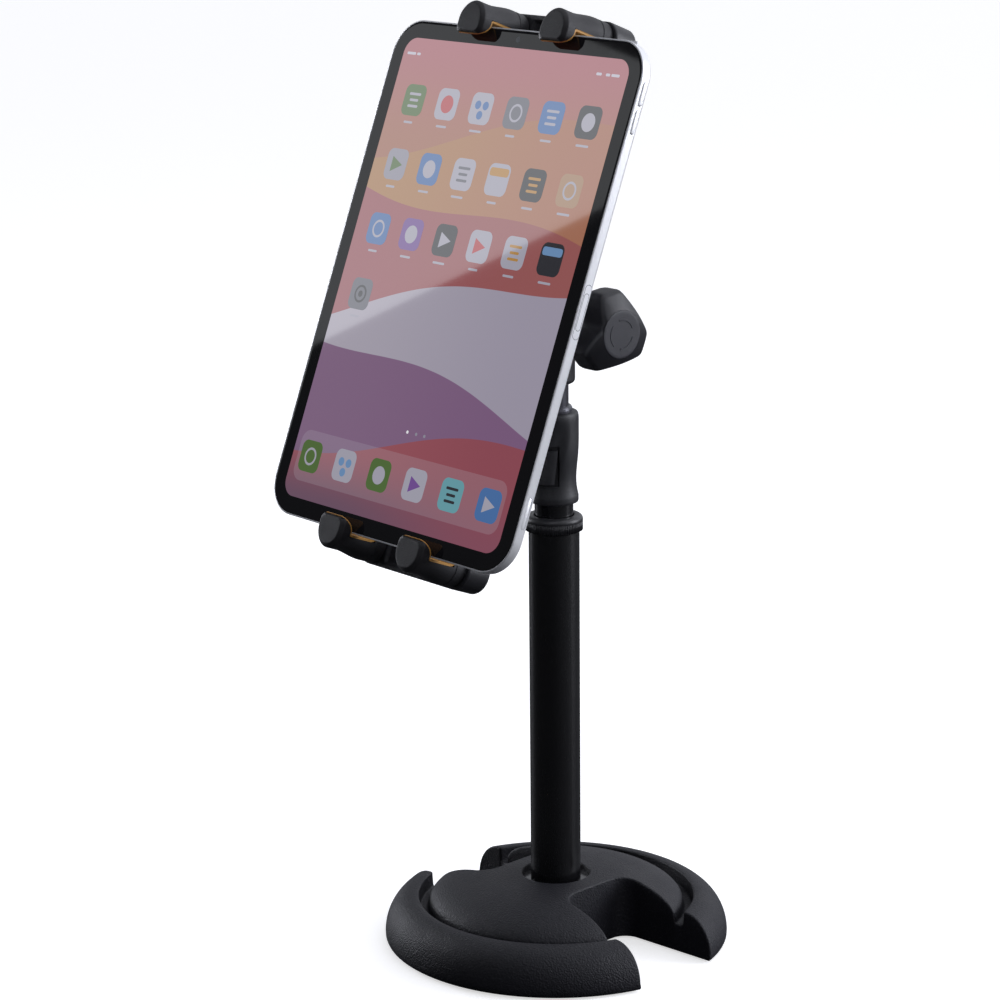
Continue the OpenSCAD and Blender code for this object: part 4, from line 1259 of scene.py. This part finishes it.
def lay(color, level, outline):
    """Adds one flat shape to the screen at a small height above the picture"""
    flat_shapes.append((color, 0.02 + 0.012 * level, outline))


def mark(kind, u, v, color, ground):
    """A plain mark in the middle of a tile"""
    if kind in ("disc", "ring", "rings"):
        lay(color, 2, spot(u, v, 4.4, 28))
    if kind in ("ring", "rings"):
        lay(ground, 3, spot(u, v, 3.3, 28))
    if kind == "rings":
        lay(color, 4, spot(u, v, 1.6, 20))
    if kind == "dots":
        for turn in (0.5, 2.6, 4.7):
            lay(color, 2, spot(u + 3.2 * math.cos(turn), v + 3.2 * math.sin(turn), 2.1, 20))
    if kind == "bars":
        for k, wide in enumerate((8.6, 6.4, 7.6)):
            lay(color, 2, [(u + x, v + 3 - 3 * k + y) for x, y in round_box(wide, 1.3, 0.6, 3)])
    if kind == "band":
        lay(color, 2, [(u + x, v + 3.6 + y) for x, y in round_box(2 * tile_half - 2, 4, 1.4, 4)])
    if kind == "wedge":
        lay(color, 2, [(u - 3.6, v - 3.8), (u + 4.4, v), (u - 3.6, v + 3.8)])


for row_v, pitch, tiles in tile_rows:
    for column, (ground, kind, color) in enumerate(tiles):
        u = (column - 2.5) * pitch
        lay(ground, 1, [(u + x, row_v + y) for x, y in round_box(2 * tile_half, 2 * tile_half, 3.6, 6)])
        mark(kind, u, row_v, color, ground)
        if row_v != strip_v:
            lay(white, 1, [(u + x, row_v - 11 + y) for x, y in round_box(6.5 + column % 3, 1.1, 0.5, 3)])
for u, color in ((-1.5, (0.8, 0.8, 0.84)), (5, pale), (11, pale)):
    lay(color, 1, spot(u, -71, 0.8, 16))
for u, long in ((-74, 6.5), (-68.5, 2.6), (61, 3.6), (67, 2.8), (72, 5.4)):
    lay((0.5, 0.48, 0.56), 1, [(u + x, 107 + y) for x, y in round_box(long, 1.3, 0.5, 3)])


def tinted_mesh(name, shapes):
    """Thin closed plates in one mesh, each with its own colour in the tone attribute"""
    points = []
    faces = []
    tones = []
    for color, height, outline in shapes:
        first = len(points)
        count = len(outline)
        points += [on_tablet(u, v, -0.04) for u, v in outline]
        points += [on_tablet(u, v, height) for u, v in outline]
        made = [tuple(range(first + count, first + 2 * count)), tuple(range(first, first + count))[::-1]]
        made += [(first + j, first + (j + 1) % count, first + count + (j + 1) % count, first + count + j)
                 for j in range(count)]
        faces += made
        tones += [color] * len(made)
    mesh = bpy.data.meshes.new(name)
    mesh.from_pydata([[c * MM for c in point] for point in points], [], faces)
    tone = mesh.color_attributes.new("tone", "FLOAT_COLOR", "CORNER")
    for face, color in zip(mesh.polygons, tones):
        for corner in face.loop_indices:
            tone.data[corner].color = (*color, 1)
    return mesh


tiles_piece = add_object("screen_tiles", tinted_mesh("screen_tiles", flat_shapes))
fit(tiles_piece, "tablet", "display", lit("tile_glow"))
